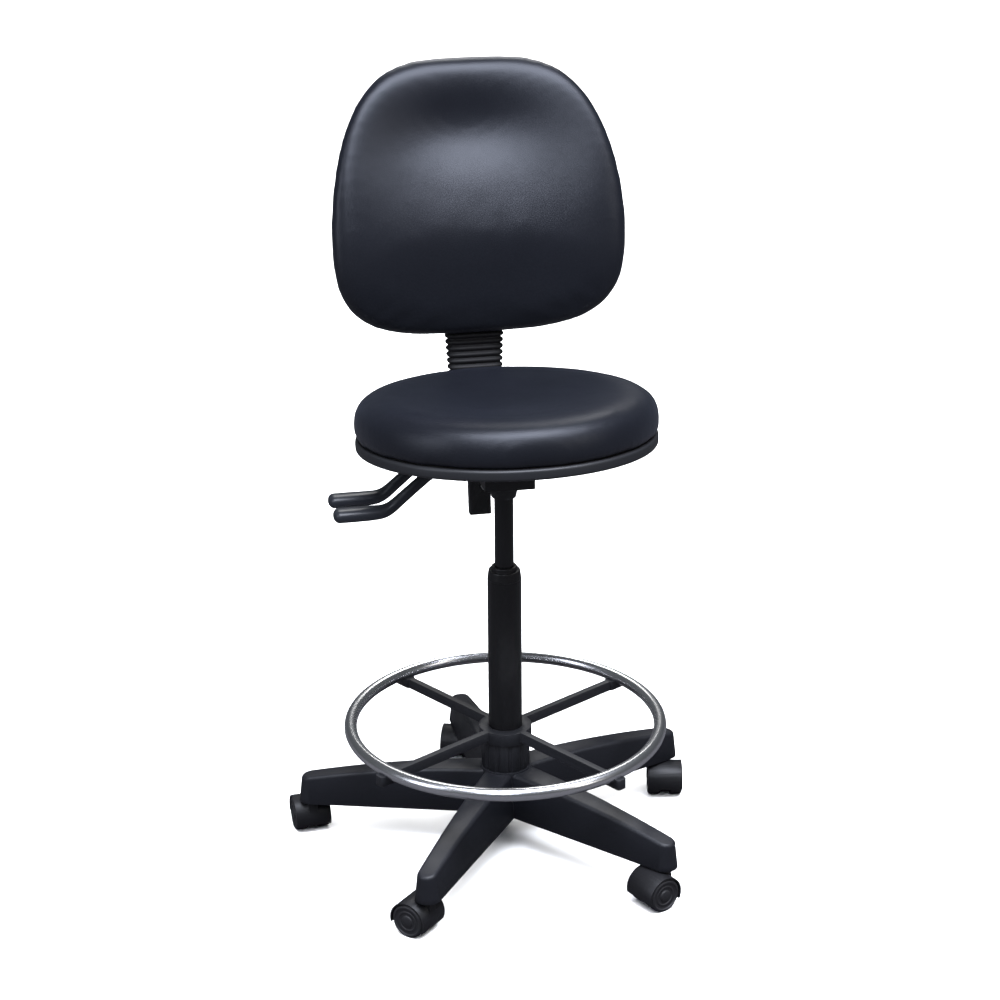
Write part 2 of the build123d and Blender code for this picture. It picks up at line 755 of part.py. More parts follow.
with BuildPart() as mechanism_housing:
    with BuildSketch(Plane.XY.offset(housing_bottom_z)):
        with Locations((0, housing_middle_y)):
            Rectangle(housing_width, housing_length)
    extrude(amount=seat_seam_z - housing_bottom_z)
    fillet(mechanism_housing.faces().sort_by(Axis.Z)[0].edges(), radius=housing_round)
    with BuildSketch(Plane.XY.offset(housing_bottom_z + housing_wall)):
        with Locations((0, housing_middle_y + housing_wall)):
            Rectangle(housing_width - 2 * housing_wall, housing_length)
    extrude(amount=seat_seam_z - housing_bottom_z, mode=Mode.SUBTRACT)
    with BuildSketch(Plane.XY.offset(housing_bottom_z)):
        with Locations((0, bulkhead_y)):
            Rectangle(housing_width, housing_wall)
    extrude(amount=seat_seam_z - housing_bottom_z)
    split(bisect_by=seat_plane.offset(board_bottom), keep=Keep.BOTTOM)
    with BuildSketch(seat_plane.offset(flange_bottom)):
        with Locations(flange_middle):
            RectangleRounded(flange_width, flange_length, flange_round)
    extrude(amount=flange_thickness)
    with BuildSketch(seat_plane.offset(flange_bottom)):
        with Locations(flange_middle):
            with GridLocations(bolt_span_x, bolt_span_y, 2, 2):
                Circle(bolt_diameter / 2 + seat_gap)
    extrude(amount=flange_thickness, mode=Mode.SUBTRACT)
    with BuildSketch(Plane.XZ):
        with BuildLine():
            Polyline(
                (0, hub_bottom_z),
                (hub_mouth_diameter / 2, hub_bottom_z),
                (hub_diameter / 2, housing_bottom_z - housing_wall),
                (hub_diameter / 2, hub_top_z),
                (0, hub_top_z),
                close=True,
            )
        make_face()
    revolve(axis=Axis.Z)
    with BuildSketch(Plane.XZ):
        with BuildLine():
            Polyline(
                (0, hub_bottom_z),
                (cylinder_radius(hub_bottom_z) + seat_gap, hub_bottom_z),
                (cylinder_radius(hub_top_z) + seat_gap, hub_top_z),
                (0, hub_top_z),
                close=True,
            )
        make_face()
    revolve(axis=Axis.Z, mode=Mode.SUBTRACT)
    for lever_y in (height_lever_y, back_lever_y):
        with Locations((-housing_width / 2, lever_y, lever_pin_z)):
            Box(3 * housing_wall, lever_boss_length, lever_slot_height, mode=Mode.SUBTRACT)
    with BuildSketch(Plane.XZ.offset(housing_length)):
        with Locations((lever_pin_x, lever_pin_z)):
            Circle(lever_pin_diameter / 2 + seat_gap)
    extrude(amount=-2 * housing_length, mode=Mode.SUBTRACT)
    with BuildSketch(Plane.YZ.offset(-housing_width)):
        with Locations((back_pin_y, back_pin_z)):
            Circle(back_pin_diameter / 2 + seat_gap)
    extrude(amount=2 * housing_width, mode=Mode.SUBTRACT)
keep(mechanism_housing, "mechanism_housing")

with BuildPart() as seat_bolts:
    with BuildSketch(seat_plane.offset(flange_bottom)):
        with Locations(flange_middle):
            with GridLocations(bolt_span_x, bolt_span_y, 2, 2):
                Circle(bolt_diameter / 2)
    extrude(amount=flange_thickness + bolt_bite)
    with BuildSketch(seat_plane.offset(flange_bottom)):
        with Locations(flange_middle):
            with GridLocations(bolt_span_x, bolt_span_y, 2, 2):
                RegularPolygon(bolt_head_diameter / 2, 6)
    extrude(amount=-bolt_head_height)
keep(seat_bolts, "seat_bolts")

with BuildPart() as lever_pivot_pin:
    with BuildSketch(Plane.XZ.offset(-housing_front_y + lever_pin_stands_out)):
        with Locations((lever_pin_x, lever_pin_z)):
            Circle(lever_pin_diameter / 2)
    extrude(amount=housing_front_y - bulkhead_y - housing_wall - 2 * lever_pin_stands_out)
keep(lever_pivot_pin, "lever_pivot_pin")

with BuildPart() as back_pivot_pin:
    with BuildSketch(Plane.YZ.offset(-housing_width / 2 - back_pin_stands_out)):
        with Locations((back_pin_y, back_pin_z)):
            Circle(back_pin_diameter / 2)
    extrude(amount=housing_width + 2 * back_pin_stands_out)
keep(back_pivot_pin, "back_pivot_pin")

spring_pitch = spring_wire + spring_turn_gap
spring_radius = (back_pin_diameter + spring_wire) / 2 + spring_pin_gap
spring_room = (housing_width / 2 - housing_wall - back_arm_width / 2) / 2
with BuildPart() as tilt_springs:
    for side in (-1, 1):
        coil_middle = side * (back_arm_width / 2 + spring_room)
        coil_start = coil_middle - spring_turns * spring_pitch / 2
        with BuildLine() as coil:
            Helix(
                pitch=spring_pitch,
                height=spring_turns * spring_pitch,
                radius=spring_radius,
                center=(coil_start, back_pin_y, back_pin_z),
                direction=(1, 0, 0),
            )
        with BuildSketch(Plane(origin=coil.line @ 0, z_dir=coil.line % 0)):
            Circle(spring_wire / 2)
        sweep(path=coil.line, is_frenet=True)
keep(tilt_springs, "tilt_springs")

# ---------------------------------------------------------------- levers


def make_lever(lever_y, tab_reach_y):
    """Steel lever: boss on the pin, rod into the handle, tab inside the mechanism."""
    with BuildPart() as lever:
        with BuildSketch(Plane.XZ.offset(-lever_y + lever_boss_length / 2)):
            with Locations((lever_pin_x, lever_pin_z)):
                Circle(lever_boss_diameter / 2)
        extrude(amount=-lever_boss_length)
        with BuildSketch(Plane.YZ.offset(lever_pin_x)):
            with Locations((lever_y, lever_pin_z)):
                Circle(lever_rod_diameter / 2)
        extrude(amount=lever_sleeve_start_x - lever_rod_bite - lever_pin_x)
        with BuildSketch(Plane.XY.offset(lever_tab_z)):
            with Locations((lever_pin_x, lever_y)):
                Rectangle(
                    lever_tab_width / 2 - lever_pin_x,
                    lever_tab_width,
                    align=(Align.MIN, Align.CENTER),
                )
            with Locations((0, (lever_y + tab_reach_y) / 2)):
                Rectangle(lever_tab_width, abs(tab_reach_y - lever_y) + lever_tab_width)
        extrude(amount=lever_tab_thickness)
        with BuildSketch(Plane.XZ.offset(-lever_y + lever_boss_length)):
            with Locations((lever_pin_x, lever_pin_z)):
                Circle(lever_pin_diameter / 2 + run_gap)
        extrude(amount=-2 * lever_boss_length, mode=Mode.SUBTRACT)
    return lever


def make_grip(lever_y):
    """Moulded handle: round sleeve with two bends, ending in a flat paddle."""
    with BuildPart() as paddle:
        with BuildSketch(Plane.XY.offset(lever_heel[1] - paddle_thickness / 2)):
            with Locations((lever_end_x + paddle_length / 2, lever_y)):
                SlotOverall(paddle_length, paddle_width)
        extrude(amount=paddle_thickness)
        fillet(paddle.faces().filter_by(Plane.XY).edges(), radius=paddle_edge_round)
    with BuildPart() as grip:
        with BuildLine(Plane.XZ.offset(-lever_y)) as route:
            FilletPolyline(
                (lever_sleeve_start_x, lever_pin_z),
                (lever_knee_x, lever_pin_z),
                lever_heel,
                (lever_end_x + paddle_length / 2, lever_heel[1]),
                radius=lever_bend_radius,
            )
        with BuildSketch(Plane(origin=route.line @ 0, z_dir=route.line % 0)):
            Circle(lever_sleeve_diameter / 2)
        sweep(path=route.line)
        add(paddle.part)
        with BuildSketch(Plane.YZ.offset(lever_sleeve_start_x)):
            with Locations((lever_y, lever_pin_z)):
                Circle(lever_rod_diameter / 2 + seat_gap)
        extrude(amount=-lever_rod_bite - end_gap, mode=Mode.SUBTRACT)
    return grip


keep(make_lever(height_lever_y, 0.0), "height_lever")
keep(make_grip(height_lever_y), "height_lever_grip")
keep(make_lever(back_lever_y, back_lever_y), "back_lever")
keep(make_grip(back_lever_y), "back_lever_grip")

# ---------------------------------------------------------------- seat

seat_section = Plane(origin=seat_plane.origin, x_dir=seat_plane.x_dir, z_dir=seat_plane.y_dir * -1)
seat_axis = Axis(seat_plane.origin, seat_plane.z_dir)

with BuildPart() as seat_board:
    with BuildSketch(seat_plane.offset(board_bottom)):
        Circle(board_radius)
    extrude(amount=board_thickness)
    with BuildSketch(seat_plane.offset(board_bottom)):
        with Locations(flange_middle):
            with GridLocations(bolt_span_x, bolt_span_y, 2, 2):
                Circle(bolt_diameter / 2 + seat_gap)
    extrude(amount=bolt_bite + end_gap, mode=Mode.SUBTRACT)
keep(seat_board, "seat_board")

cushion_low = board_top + soft_gap
shoulder_middle = (
    (seat_shoulder_radius + seat_rim_radius) / 2 + seat_rim_bulge,
    seat_rim_height - seat_rim_fall,
)
with BuildPart() as seat_cushion:
    with BuildSketch(seat_section):
        with BuildLine():
            Line((0, cushion_low), (seat_seam_radius, cushion_low))
            ThreePointArc(
                (seat_seam_radius, cushion_low),
                (seat_radius, seat_widest_height),
                (seat_shoulder_radius, seat_shoulder_height),
            )
            ThreePointArc(
                (seat_shoulder_radius, seat_shoulder_height),
                shoulder_middle,
                (seat_rim_radius, seat_rim_height),
            )
            Line((seat_rim_radius, seat_rim_height), (0, seat_rim_height - seat_dish_depth))
            Line((0, seat_rim_height - seat_dish_depth), (0, cushion_low))
        make_face()
    revolve(axis=seat_axis)
keep(seat_cushion, "seat_cushion")

trim_bottom = board_top - trim_height
trim_bore = board_radius + trim_gap
with BuildPart() as seat_edge_trim:
    with BuildSketch(seat_section):
        with BuildLine():
            Line((trim_bore, board_top), (seat_seam_radius, board_top))
            ThreePointArc(
                (seat_seam_radius, board_top),
                (seat_seam_radius - trim_hollow, board_top - trim_height / 2),
                (trim_bottom_radius, trim_bottom),
            )
            Polyline(
                (trim_bottom_radius, trim_bottom),
                (board_radius - trim_lip, trim_bottom),
                (board_radius - trim_lip, board_bottom - face_gap),
                (trim_bore, board_bottom - face_gap),
                (trim_bore, board_top),
            )
        make_face()
    revolve(axis=seat_axis)
keep(seat_edge_trim, "seat_edge_trim")

# ---------------------------------------------------------------- back support

plate_bolts = [(0, plate_middle + end * plate_bolt_step) for end in (-1, 1)]
bracket_wall = (bracket_width - upright_width) / 2 - upright_slide_gap
plate_plane = Plane(
    origin=upright_plane.origin - upright_plane.y_dir * (bracket_depth / 2),
    x_dir=upright_plane.x_dir,
    z_dir=upright_plane.y_dir * -1,
)

with BuildPart() as back_arm:
    with BuildSketch(Plane.YZ.offset(-back_arm_width / 2)):
        with Locations((back_pin_y, back_pin_z)):
            Circle(back_arm_boss_diameter / 2)
        with Locations((back_pin_y, back_pin_z)):
            Rectangle(
                upright_y - back_pin_y, back_arm_thickness, align=(Align.MIN, Align.CENTER)
            )
    extrude(amount=back_arm_width)
    split(bisect_by=plate_plane, keep=Keep.TOP)
    with BuildSketch(plate_plane):
        with Locations((0, plate_middle)):
            RectangleRounded(back_arm_width, plate_height, plate_round)
    extrude(amount=plate_thickness)
    with BuildSketch(plate_plane):
        with Locations(*plate_bolts):
            Circle(bracket_bolt_diameter / 2 + seat_gap)
    extrude(amount=plate_thickness, mode=Mode.SUBTRACT)
    with BuildSketch(Plane.YZ.offset(-back_arm_width)):
        with Locations((back_pin_y, back_pin_z)):
            Circle(back_pin_diameter / 2 + run_gap)
    extrude(amount=2 * back_arm_width, mode=Mode.SUBTRACT)
keep(back_arm, "back_arm")

with BuildPart() as back_bracket:
    with BuildSketch(upright_plane.offset(bracket_low)):
        RectangleRounded(bracket_width, bracket_depth, bracket_round)
    extrude(amount=bracket_high - bracket_low)
    with BuildSketch(upright_plane.offset(bracket_low + bracket_floor)):
        Rectangle(bracket_width - 2 * bracket_wall, upright_depth + 2 * upright_slide_gap)
    extrude(amount=bracket_high - bracket_low, mode=Mode.SUBTRACT)
    with BuildSketch(plate_plane):
        with Locations(*plate_bolts, lock_bolt_place):
            Circle(bracket_bolt_diameter / 2 + seat_gap)
    extrude(amount=-bracket_depth / 2, mode=Mode.SUBTRACT)
keep(back_bracket, "back_bracket")

front_wall = (bracket_depth - upright_depth) / 2 - upright_slide_gap
with BuildPart() as back_bracket_bolts:
    with BuildSketch(plate_plane):
        with Locations(*plate_bolts, lock_bolt_place):
            Circle(bracket_bolt_diameter / 2)
    extrude(amount=face_gap - front_wall)
    with BuildSketch(plate_plane):
        with Locations(*plate_bolts):
            Circle(bracket_bolt_diameter / 2)
    extrude(amount=plate_thickness)
    with BuildSketch(plate_plane.offset(plate_thickness)):
        with Locations(*plate_bolts):
            RegularPolygon(bracket_bolt_head_diameter / 2, 6)
    extrude(amount=bracket_bolt_head_height)
    with BuildSketch(plate_plane):
        with Locations(lock_bolt_place):
            RegularPolygon(bracket_bolt_head_diameter / 2, 6)
    extrude(amount=bracket_bolt_head_height)
keep(back_bracket_bolts, "back_bracket_bolts")

# ---------------------------------------------------------------- back rest


def back_surface(z):
    """The back rest's own surface on the centre line: its y at height z."""
    rise = z - back_waist_z
    lean = rise * math.tan(math.radians(back_lean))
    return back_face_y + lean + back_curve * (rise / back_curve_reach) ** 2


def outline_points(inset):
    """Points round the back rest's outline, drawn in by inset."""
    points = []
    for step in range(back_outline_steps):
        turn = 2 * math.pi * (step + 0.5) / back_outline_steps
        across = math.cos(turn)
        along = math.sin(turn)
        side_power, end_power = back_top_powers if along > 0 else back_bottom_powers
        reach = back_top_z - back_widest_z if along > 0 else back_widest_z - back_bottom_z
        x = math.copysign((back_half_width - inset) * abs(across) ** (2 / side_power), across)
        z = math.copysign((reach - inset) * abs(along) ** (2 / end_power), along)
        points.append((x, back_widest_z + z))
    return points


back_plan_axis = Axis((0, back_face_y - back_plan_radius, 0), (0, 0, 1))
band_low_z = back_bottom_z - back_band_margin
band_high_z = back_top_z + back_band_margin


def make_band(front, rear):
    """The curved slab between two offsets from the back rest's surface, rear positive."""
    with BuildPart() as band:
        with BuildSketch(Plane.YZ):
            with BuildLine():
                near = ThreePointArc(
                    (back_surface(band_low_z) + front, band_low_z),
                    (back_surface(back_waist_z) + front, back_waist_z),
                    (back_surface(band_high_z) + front, band_high_z),
                )
                far = ThreePointArc(
                    (back_surface(band_low_z) + rear, band_low_z),
                    (back_surface(back_waist_z) + rear, back_waist_z),
                    (back_surface(band_high_z) + rear, band_high_z),
                )
                Line(near @ 0, far @ 0)
                Line(near @ 1, far @ 1)
            make_face()
        revolve(axis=back_plan_axis)
    return band


def make_back_slab(front, rear, inset):
    """The band cut to the back rest's outline."""
    band = make_band(front, rear)
    with BuildPart() as slab:
        with BuildSketch(Plane.XZ.offset(-2 * back_face_y)):
            with BuildLine():
                Spline(*outline_points(inset), periodic=True)
            make_face()
        extrude(amount=2 * back_face_y)
        add(band.part, mode=Mode.INTERSECT)
    return slab


board_rear = back_board_front + back_board_thickness
board_pocket = make_back_slab(
    back_board_front - soft_gap, board_rear + back_pocket_overrun, back_board_inset - soft_gap
)
cushion_slab = make_back_slab(-back_cushion_front, board_rear, 0.0)
with BuildPart() as back_cushion:
    add(cushion_slab.part)
    add(board_pocket.part, mode=Mode.SUBTRACT)
keep(back_cushion, "back_cushion")

screw_places = [
    (side * back_screw_span_x / 2, back_block_z + end * back_screw_span_z / 2)
    for side in (-1, 1)
    for end in (-1, 1)
]
block_rear_y = upright_y + (back_block_z - upright_z) * math.tan(math.radians(upright_lean))
screw_reach = block_rear_y - back_face_y - board_rear + back_screw_bite

board_slab = make_back_slab(back_board_front, board_rear, back_board_inset)
with BuildPart() as back_board:
    add(board_slab.part)
    with BuildSketch(Plane.XZ.offset(-block_rear_y)):
        with Locations(*screw_places):
            Circle(back_screw_diameter / 2 + seat_gap)
    extrude(amount=screw_reach + end_gap, mode=Mode.SUBTRACT)
keep(back_board, "back_board")

block_band = make_band(board_rear, back_hump_rise)
with BuildPart() as back_block:
    with BuildSketch(Plane.XZ.offset(-block_rear_y)):
        with Locations((0, back_block_z)):
            RectangleRounded(back_block_width, back_block_height, back_block_round)
    extrude(amount=back_hump_rise)
    add(block_band.part, mode=Mode.INTERSECT)
with BuildPart() as back_upright:
    with BuildSketch(upright_plane.offset(upright_low)):
        Rectangle(upright_width, upright_depth)
    extrude(amount=upright_high - upright_low)
    add(back_block.part)
    with BuildSketch(upright_plane.offset(upright_low)):
        Rectangle(upright_width - 2 * upright_wall, upright_depth - 2 * upright_wall)
    extrude(amount=upright_high - upright_low, mode=Mode.SUBTRACT)
    with BuildSketch(Plane.XZ.offset(-block_rear_y)):
        with Locations(*screw_places):
            Circle(back_screw_diameter / 2 + seat_gap)
    extrude(amount=back_hump_rise, mode=Mode.SUBTRACT)
keep(back_upright, "back_upright")

with BuildPart() as back_screws:
    with BuildSketch(Plane.XZ.offset(-block_rear_y)):
        with Locations(*screw_places):
            Circle(back_screw_diameter / 2)
    extrude(amount=screw_reach)
    with BuildSketch(Plane.XZ.offset(-block_rear_y)):
        with Locations(*screw_places):
            Circle(back_screw_head_diameter / 2)
    extrude(amount=-back_screw_head_height)
keep(back_screws, "back_screws")

shell_front = board_rear + back_shell_gap
shell_skin = make_back_slab(shell_front, shell_front + back_shell_wall, back_shell_inset)
hump_middle_z = back_bottom_z + back_shell_inset + back_hump_height / 2
hump_band = make_band(shell_front, back_hump_rise)
pocket_band = make_band(shell_front - back_pocket_overrun, back_hump_rise - back_shell_wall)
with BuildPart() as hump:
    with BuildSketch(Plane.XZ.offset(-2 * back_face_y)):
        with Locations((0, hump_middle_z)):
            RectangleRounded(back_hump_width, back_hump_height, back_hump_round)
    extrude(amount=2 * back_face_y)
    add(hump_band.part, mode=Mode.INTERSECT)
with BuildPart() as hump_pocket:
    with BuildSketch(Plane.XZ.offset(-2 * back_face_y)):
        with Locations((0, hump_middle_z - back_shell_wall)):
            Rectangle(back_hump_width - 2 * back_shell_wall, back_hump_height)
    extrude(amount=2 * back_face_y)
    add(pocket_band.part, mode=Mode.INTERSECT)
with BuildPart() as back_shell:
    add(shell_skin.part)
    add(hump.part)
    add(hump_pocket.part, mode=Mode.SUBTRACT)
keep(back_shell, "back_shell")

# ---------------------------------------------------------------- bellows over the upright

bellows_start = bracket_high + soft_gap
with BuildPart() as bellows:
    for rib in range(bellows_rib_count):
        low = bellows_start + rib * bellows_rib_pitch
        with BuildSketch(upright_plane.offset(low)):
            RectangleRounded(
                bellows_width - 2 * bellows_fold,
                bellows_depth - 2 * bellows_fold,
                bellows_groove_round,
            )
        extrude(amount=bellows_rib_pitch)
        with BuildSketch(upright_plane.offset(low + bellows_rib_pitch / 4)):
            RectangleRounded(bellows_width, bellows_depth, bellows_rib_round)
        extrude(amount=bellows_rib_pitch / 2)
    with BuildSketch(upright_plane.offset(bellows_start + bellows_wall)):
        RectangleRounded(
            bellows_width - 2 * (bellows_fold + bellows_wall),
            bellows_depth - 2 * (bellows_fold + bellows_wall),
            bellows_inner_round,
        )
    extrude(amount=bellows_rib_count * bellows_rib_pitch, mode=Mode.SUBTRACT)
    with BuildSketch(upright_plane.offset(bellows_start)):
        Rectangle(upright_width + 2 * upright_slide_gap, upright_depth + 2 * upright_slide_gap)
    extrude(amount=2 * bellows_wall, mode=Mode.SUBTRACT)
keep(bellows, "bellows")
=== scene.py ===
# %% [markdown]
# # A drafting chair, dressed over its CAD frame
# The chair's mechanics are already settled: every tube, wheel and lever comes from the CAD
# model with its real size, and moves with its own body. This lesson adds what CAD is poor at,
# which is soft padding, rounded mouldings and surfaces that look touched and used.
# Everything is in metres, with the origin on the floor under the column. The sitter faces -Y.

# %% Load the frame
import json
import math

import bmesh
import bpy
from mathutils import Matrix, Quaternion, Vector


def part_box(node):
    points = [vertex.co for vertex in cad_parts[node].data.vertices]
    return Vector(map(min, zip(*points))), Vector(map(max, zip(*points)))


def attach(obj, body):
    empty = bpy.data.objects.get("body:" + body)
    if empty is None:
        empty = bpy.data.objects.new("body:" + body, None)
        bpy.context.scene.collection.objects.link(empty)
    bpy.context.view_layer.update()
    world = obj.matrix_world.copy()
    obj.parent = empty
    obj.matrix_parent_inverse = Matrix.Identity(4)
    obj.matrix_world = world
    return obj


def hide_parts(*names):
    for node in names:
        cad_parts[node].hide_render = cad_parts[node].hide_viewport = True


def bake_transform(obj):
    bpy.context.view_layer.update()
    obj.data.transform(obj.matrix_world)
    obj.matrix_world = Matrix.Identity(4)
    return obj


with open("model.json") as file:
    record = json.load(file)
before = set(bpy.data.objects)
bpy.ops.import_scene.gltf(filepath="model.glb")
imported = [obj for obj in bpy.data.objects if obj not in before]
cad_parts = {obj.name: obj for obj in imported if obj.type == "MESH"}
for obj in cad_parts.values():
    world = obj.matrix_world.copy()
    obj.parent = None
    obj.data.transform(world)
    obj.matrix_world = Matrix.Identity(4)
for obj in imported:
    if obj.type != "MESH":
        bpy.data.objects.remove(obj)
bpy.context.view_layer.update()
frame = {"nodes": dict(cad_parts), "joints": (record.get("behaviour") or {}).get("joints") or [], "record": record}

joints = {joint["name"]: joint for joint in frame["joints"]}
scene = bpy.context.scene

# %% [markdown]
# ## Camera
# The view comes first, because it decides which surfaces matter most. A long lens stands well
# back, a little above the seat, and to the sitter's right of the chair's middle. The camera is
# aimed at a point on the column, and a slight roll keeps the column upright in the picture.

# %% Camera
CAMERA_PLACE = Vector((-0.5712, -2.9357, 1.6791))
CAMERA_AIM = Vector((0.0, 0.0289, 0.535))
CAMERA_ROLL = math.radians(-0.43)
LENS = 80.4

camera = bpy.data.objects.new("camera", bpy.data.cameras.new("camera"))
camera.data.lens = LENS
camera.data.sensor_width = 36.0
camera.data.clip_end = 50.0
camera.location = CAMERA_PLACE
camera.rotation_mode = "QUATERNION"
aim = (CAMERA_AIM - CAMERA_PLACE).to_track_quat("-Z", "Y")
camera.rotation_quaternion = aim @ Quaternion((0, 0, 1), CAMERA_ROLL)
scene.collection.objects.link(camera)
scene.camera = camera
print("camera distance:", round((CAMERA_AIM - CAMERA_PLACE).length, 2), "m")

# %% [markdown]
# ## Light, floor and backdrop
# Black things are shown by what they reflect, so the lamps are large and soft. A wide panel
# overhead draws the long highlights on the seat's rim and the base's arms. A small one high in
# front lights the waist of the back rest, upright ones at the sides outline the column and the
# ring, and one behind keeps the rear from going flat. A pale floor would light the chair from
# below and turn its blacks grey, so the floor has a lamp of its own, and it throws
# little of that light back up.

# %% Light, floor and backdrop
def soft_panel(name, place, aim_at, size, power, tint):
    lamp = bpy.data.lights.new(name, "AREA")
    lamp.shape = "RECTANGLE"
    lamp.size, lamp.size_y = size
    lamp.energy = power
    lamp.color = tint
    holder = bpy.data.objects.new(name, lamp)
    holder.location = place
    holder.rotation_euler = (Vector(aim_at) - Vector(place)).to_track_quat("-Z", "Y").to_euler()
    scene.collection.objects.link(holder)


COOL = (0.84, 0.88, 1.0)
soft_panel("overhead", (0.2, -0.95, 3.0), (0, 0.1, 0.7), (2.8, 1.6), 150, COOL)
soft_panel("front_high", (-0.8, -2.8, 2.35), (0, 0.1, 0.95), (0.9, 0.6), 16, COOL)
soft_panel("front_right", (2.3, -2.4, 1.9), (0, 0, 0.7), (0.8, 1.6), 9, (1, 0.97, 0.95))
soft_panel("front_left", (-2.6, -1.0, 1.7), (0, 0, 0.6), (0.8, 2.0), 18, COOL)
soft_panel("behind", (0.5, 2.3, 2.7), (0, 0.2, 0.8), (1.6, 1.0), 26, (1, 1, 1))

FLOOR_HALF = 40.0
floor_mesh = bmesh.new()
bmesh.ops.create_grid(floor_mesh, x_segments=1, y_segments=1, size=FLOOR_HALF)
floor_data = bpy.data.meshes.new("floor")
floor_mesh.to_mesh(floor_data)
floor_mesh.free()
floor = bpy.data.objects.new("floor", floor_data)
floor_set = bpy.data.collections.new("floor_set")
scene.collection.children.link(floor_set)
floor_set.objects.link(floor)

floor_lamp = bpy.data.lights.new("floor_lamp", "SUN")
floor_lamp.energy = 9.0
floor_lamp.angle = math.radians(75)
floor_lamp_holder = bpy.data.objects.new("floor_lamp", floor_lamp)
floor_lamp_holder.rotation_euler = (math.radians(12), 0, 0)
scene.collection.objects.link(floor_lamp_holder)
floor_lamp_holder.light_linking.receiver_collection = floor_set

FLOOR_SEEN = (0.88, 0.88, 0.88, 1)
FLOOR_FELT = (0.03, 0.03, 0.033, 1)
floor_paint = bpy.data.materials.new("floor_paint")
floor_paint.use_nodes = True
paint = floor_paint.node_tree
paint.nodes.clear()
floor_seen = paint.nodes.new("ShaderNodeBsdfDiffuse")
floor_seen.inputs["Color"].default_value = FLOOR_SEEN
floor_felt = paint.nodes.new("ShaderNodeBsdfDiffuse")
floor_felt.inputs["Color"].default_value = FLOOR_FELT
ray = paint.nodes.new("ShaderNodeLightPath")
either = paint.nodes.new("ShaderNodeMixShader")
floor_out = paint.nodes.new("ShaderNodeOutputMaterial")
paint.links.new(ray.outputs["Is Camera Ray"], either.inputs["Fac"])
paint.links.new(floor_felt.outputs[0], either.inputs[1])
paint.links.new(floor_seen.outputs[0], either.inputs[2])
paint.links.new(either.outputs[0], floor_out.inputs["Surface"])
floor_data.materials.append(floor_paint)

world = bpy.data.worlds.new("studio")
scene.world = world
world.use_nodes = True
sky = world.node_tree
sky.nodes.clear()
seen = sky.nodes.new("ShaderNodeBackground")
seen.inputs["Color"].default_value = (1, 1, 1, 1)
seen.inputs["Strength"].default_value = 1.0
lit = sky.nodes.new("ShaderNodeBackground")
lit.inputs["Color"].default_value = (0.85, 0.92, 1, 1)
lit.inputs["Strength"].default_value = 0.08
ray = sky.nodes.new("ShaderNodeLightPath")
choose = sky.nodes.new("ShaderNodeMixShader")
world_out = sky.nodes.new("ShaderNodeOutputWorld")
sky.links.new(ray.outputs["Is Camera Ray"], choose.inputs["Fac"])
sky.links.new(lit.outputs[0], choose.inputs[1])
sky.links.new(seen.outputs[0], choose.inputs[2])
sky.links.new(choose.outputs[0], world_out.inputs["Surface"])
scene.view_settings.view_transform = "Standard"

# %% [markdown]
# ## Shared surface effects
# Moulded nylon, powder coat and vinyl differ in scale and strength, but they share the same
# few effects: a fine grain, a roughness that wanders a little, edges rubbed smooth and a
# trace of dust on top. Each effect is a node group, built once, with named inputs, and every
# material sets its own amounts. The patterns read Object coordinates, which stay with the piece
# when it moves.

# %% Shared surface effects
def new_group(name, inputs, output):
    """An empty shader group with number inputs and one number output, and its two ends."""
    group = bpy.data.node_groups.new(name, "ShaderNodeTree")
    for label, value in inputs.items():
        socket = group.interface.new_socket(label, in_out="INPUT", socket_type="NodeSocketFloat")
        socket.default_value = value
    group.interface.new_socket(output, in_out="OUTPUT", socket_type="NodeSocketFloat")
    return group, group.nodes.new("NodeGroupInput"), group.nodes.new("NodeGroupOutput")


def math_node(tree, operation, first, second=None):
    """A Math node fed by sockets or plain numbers; returns its output."""
    node = tree.nodes.new("ShaderNodeMath")
    node.operation = operation
    for slot, value in enumerate((first, second)):
        if value is None:
            continue
        if isinstance(value, (int, float)):
            node.inputs[slot].default_value = value
        else:
            tree.links.new(value, node.inputs[slot])
    return node.outputs[0]


def noise_node(tree, vector, scale, detail=3.0):
    """A Noise Texture whose scale is a socket or a number; returns its value."""
    node = tree.nodes.new("ShaderNodeTexNoise")
    node.inputs["Detail"].default_value = detail
    tree.links.new(vector, node.inputs["Vector"])
    if isinstance(scale, (int, float)):
        node.inputs["Scale"].default_value = scale
    else:
        tree.links.new(scale, node.inputs["Scale"])
    return node.outputs["Fac"]


grain_group, enter, leave = new_group("grain", {"Scale": 900.0, "Pebble": 0.5}, "Height")
place = grain_group.nodes.new("ShaderNodeTexCoord").outputs["Object"]
pebbles = grain_group.nodes.new("ShaderNodeTexVoronoi")
pebbles.feature = "SMOOTH_F1"
grain_group.links.new(place, pebbles.inputs["Vector"])
grain_group.links.new(enter.outputs["Scale"], pebbles.inputs["Scale"])
grit = noise_node(grain_group, place, enter.outputs["Scale"])
rounded = math_node(grain_group, "MULTIPLY", pebbles.outputs["Distance"], enter.outputs["Pebble"])
grain_group.links.new(math_node(grain_group, "ADD", grit, rounded), leave.inputs["Height"])

wander_group, enter, leave = new_group(
    "wandering_gloss", {"Roughness": 0.5, "Spread": 0.1, "Scale": 30.0}, "Roughness"
)
place = wander_group.nodes.new("ShaderNodeTexCoord").outputs["Object"]
drift = noise_node(wander_group, place, enter.outputs["Scale"], 5.0)
centred = math_node(wander_group, "SUBTRACT", drift, 0.5)
swing = math_node(wander_group, "MULTIPLY", centred, enter.outputs["Spread"])
total = math_node(wander_group, "ADD", enter.outputs["Roughness"], swing)
wander_group.links.new(total, leave.inputs["Roughness"])

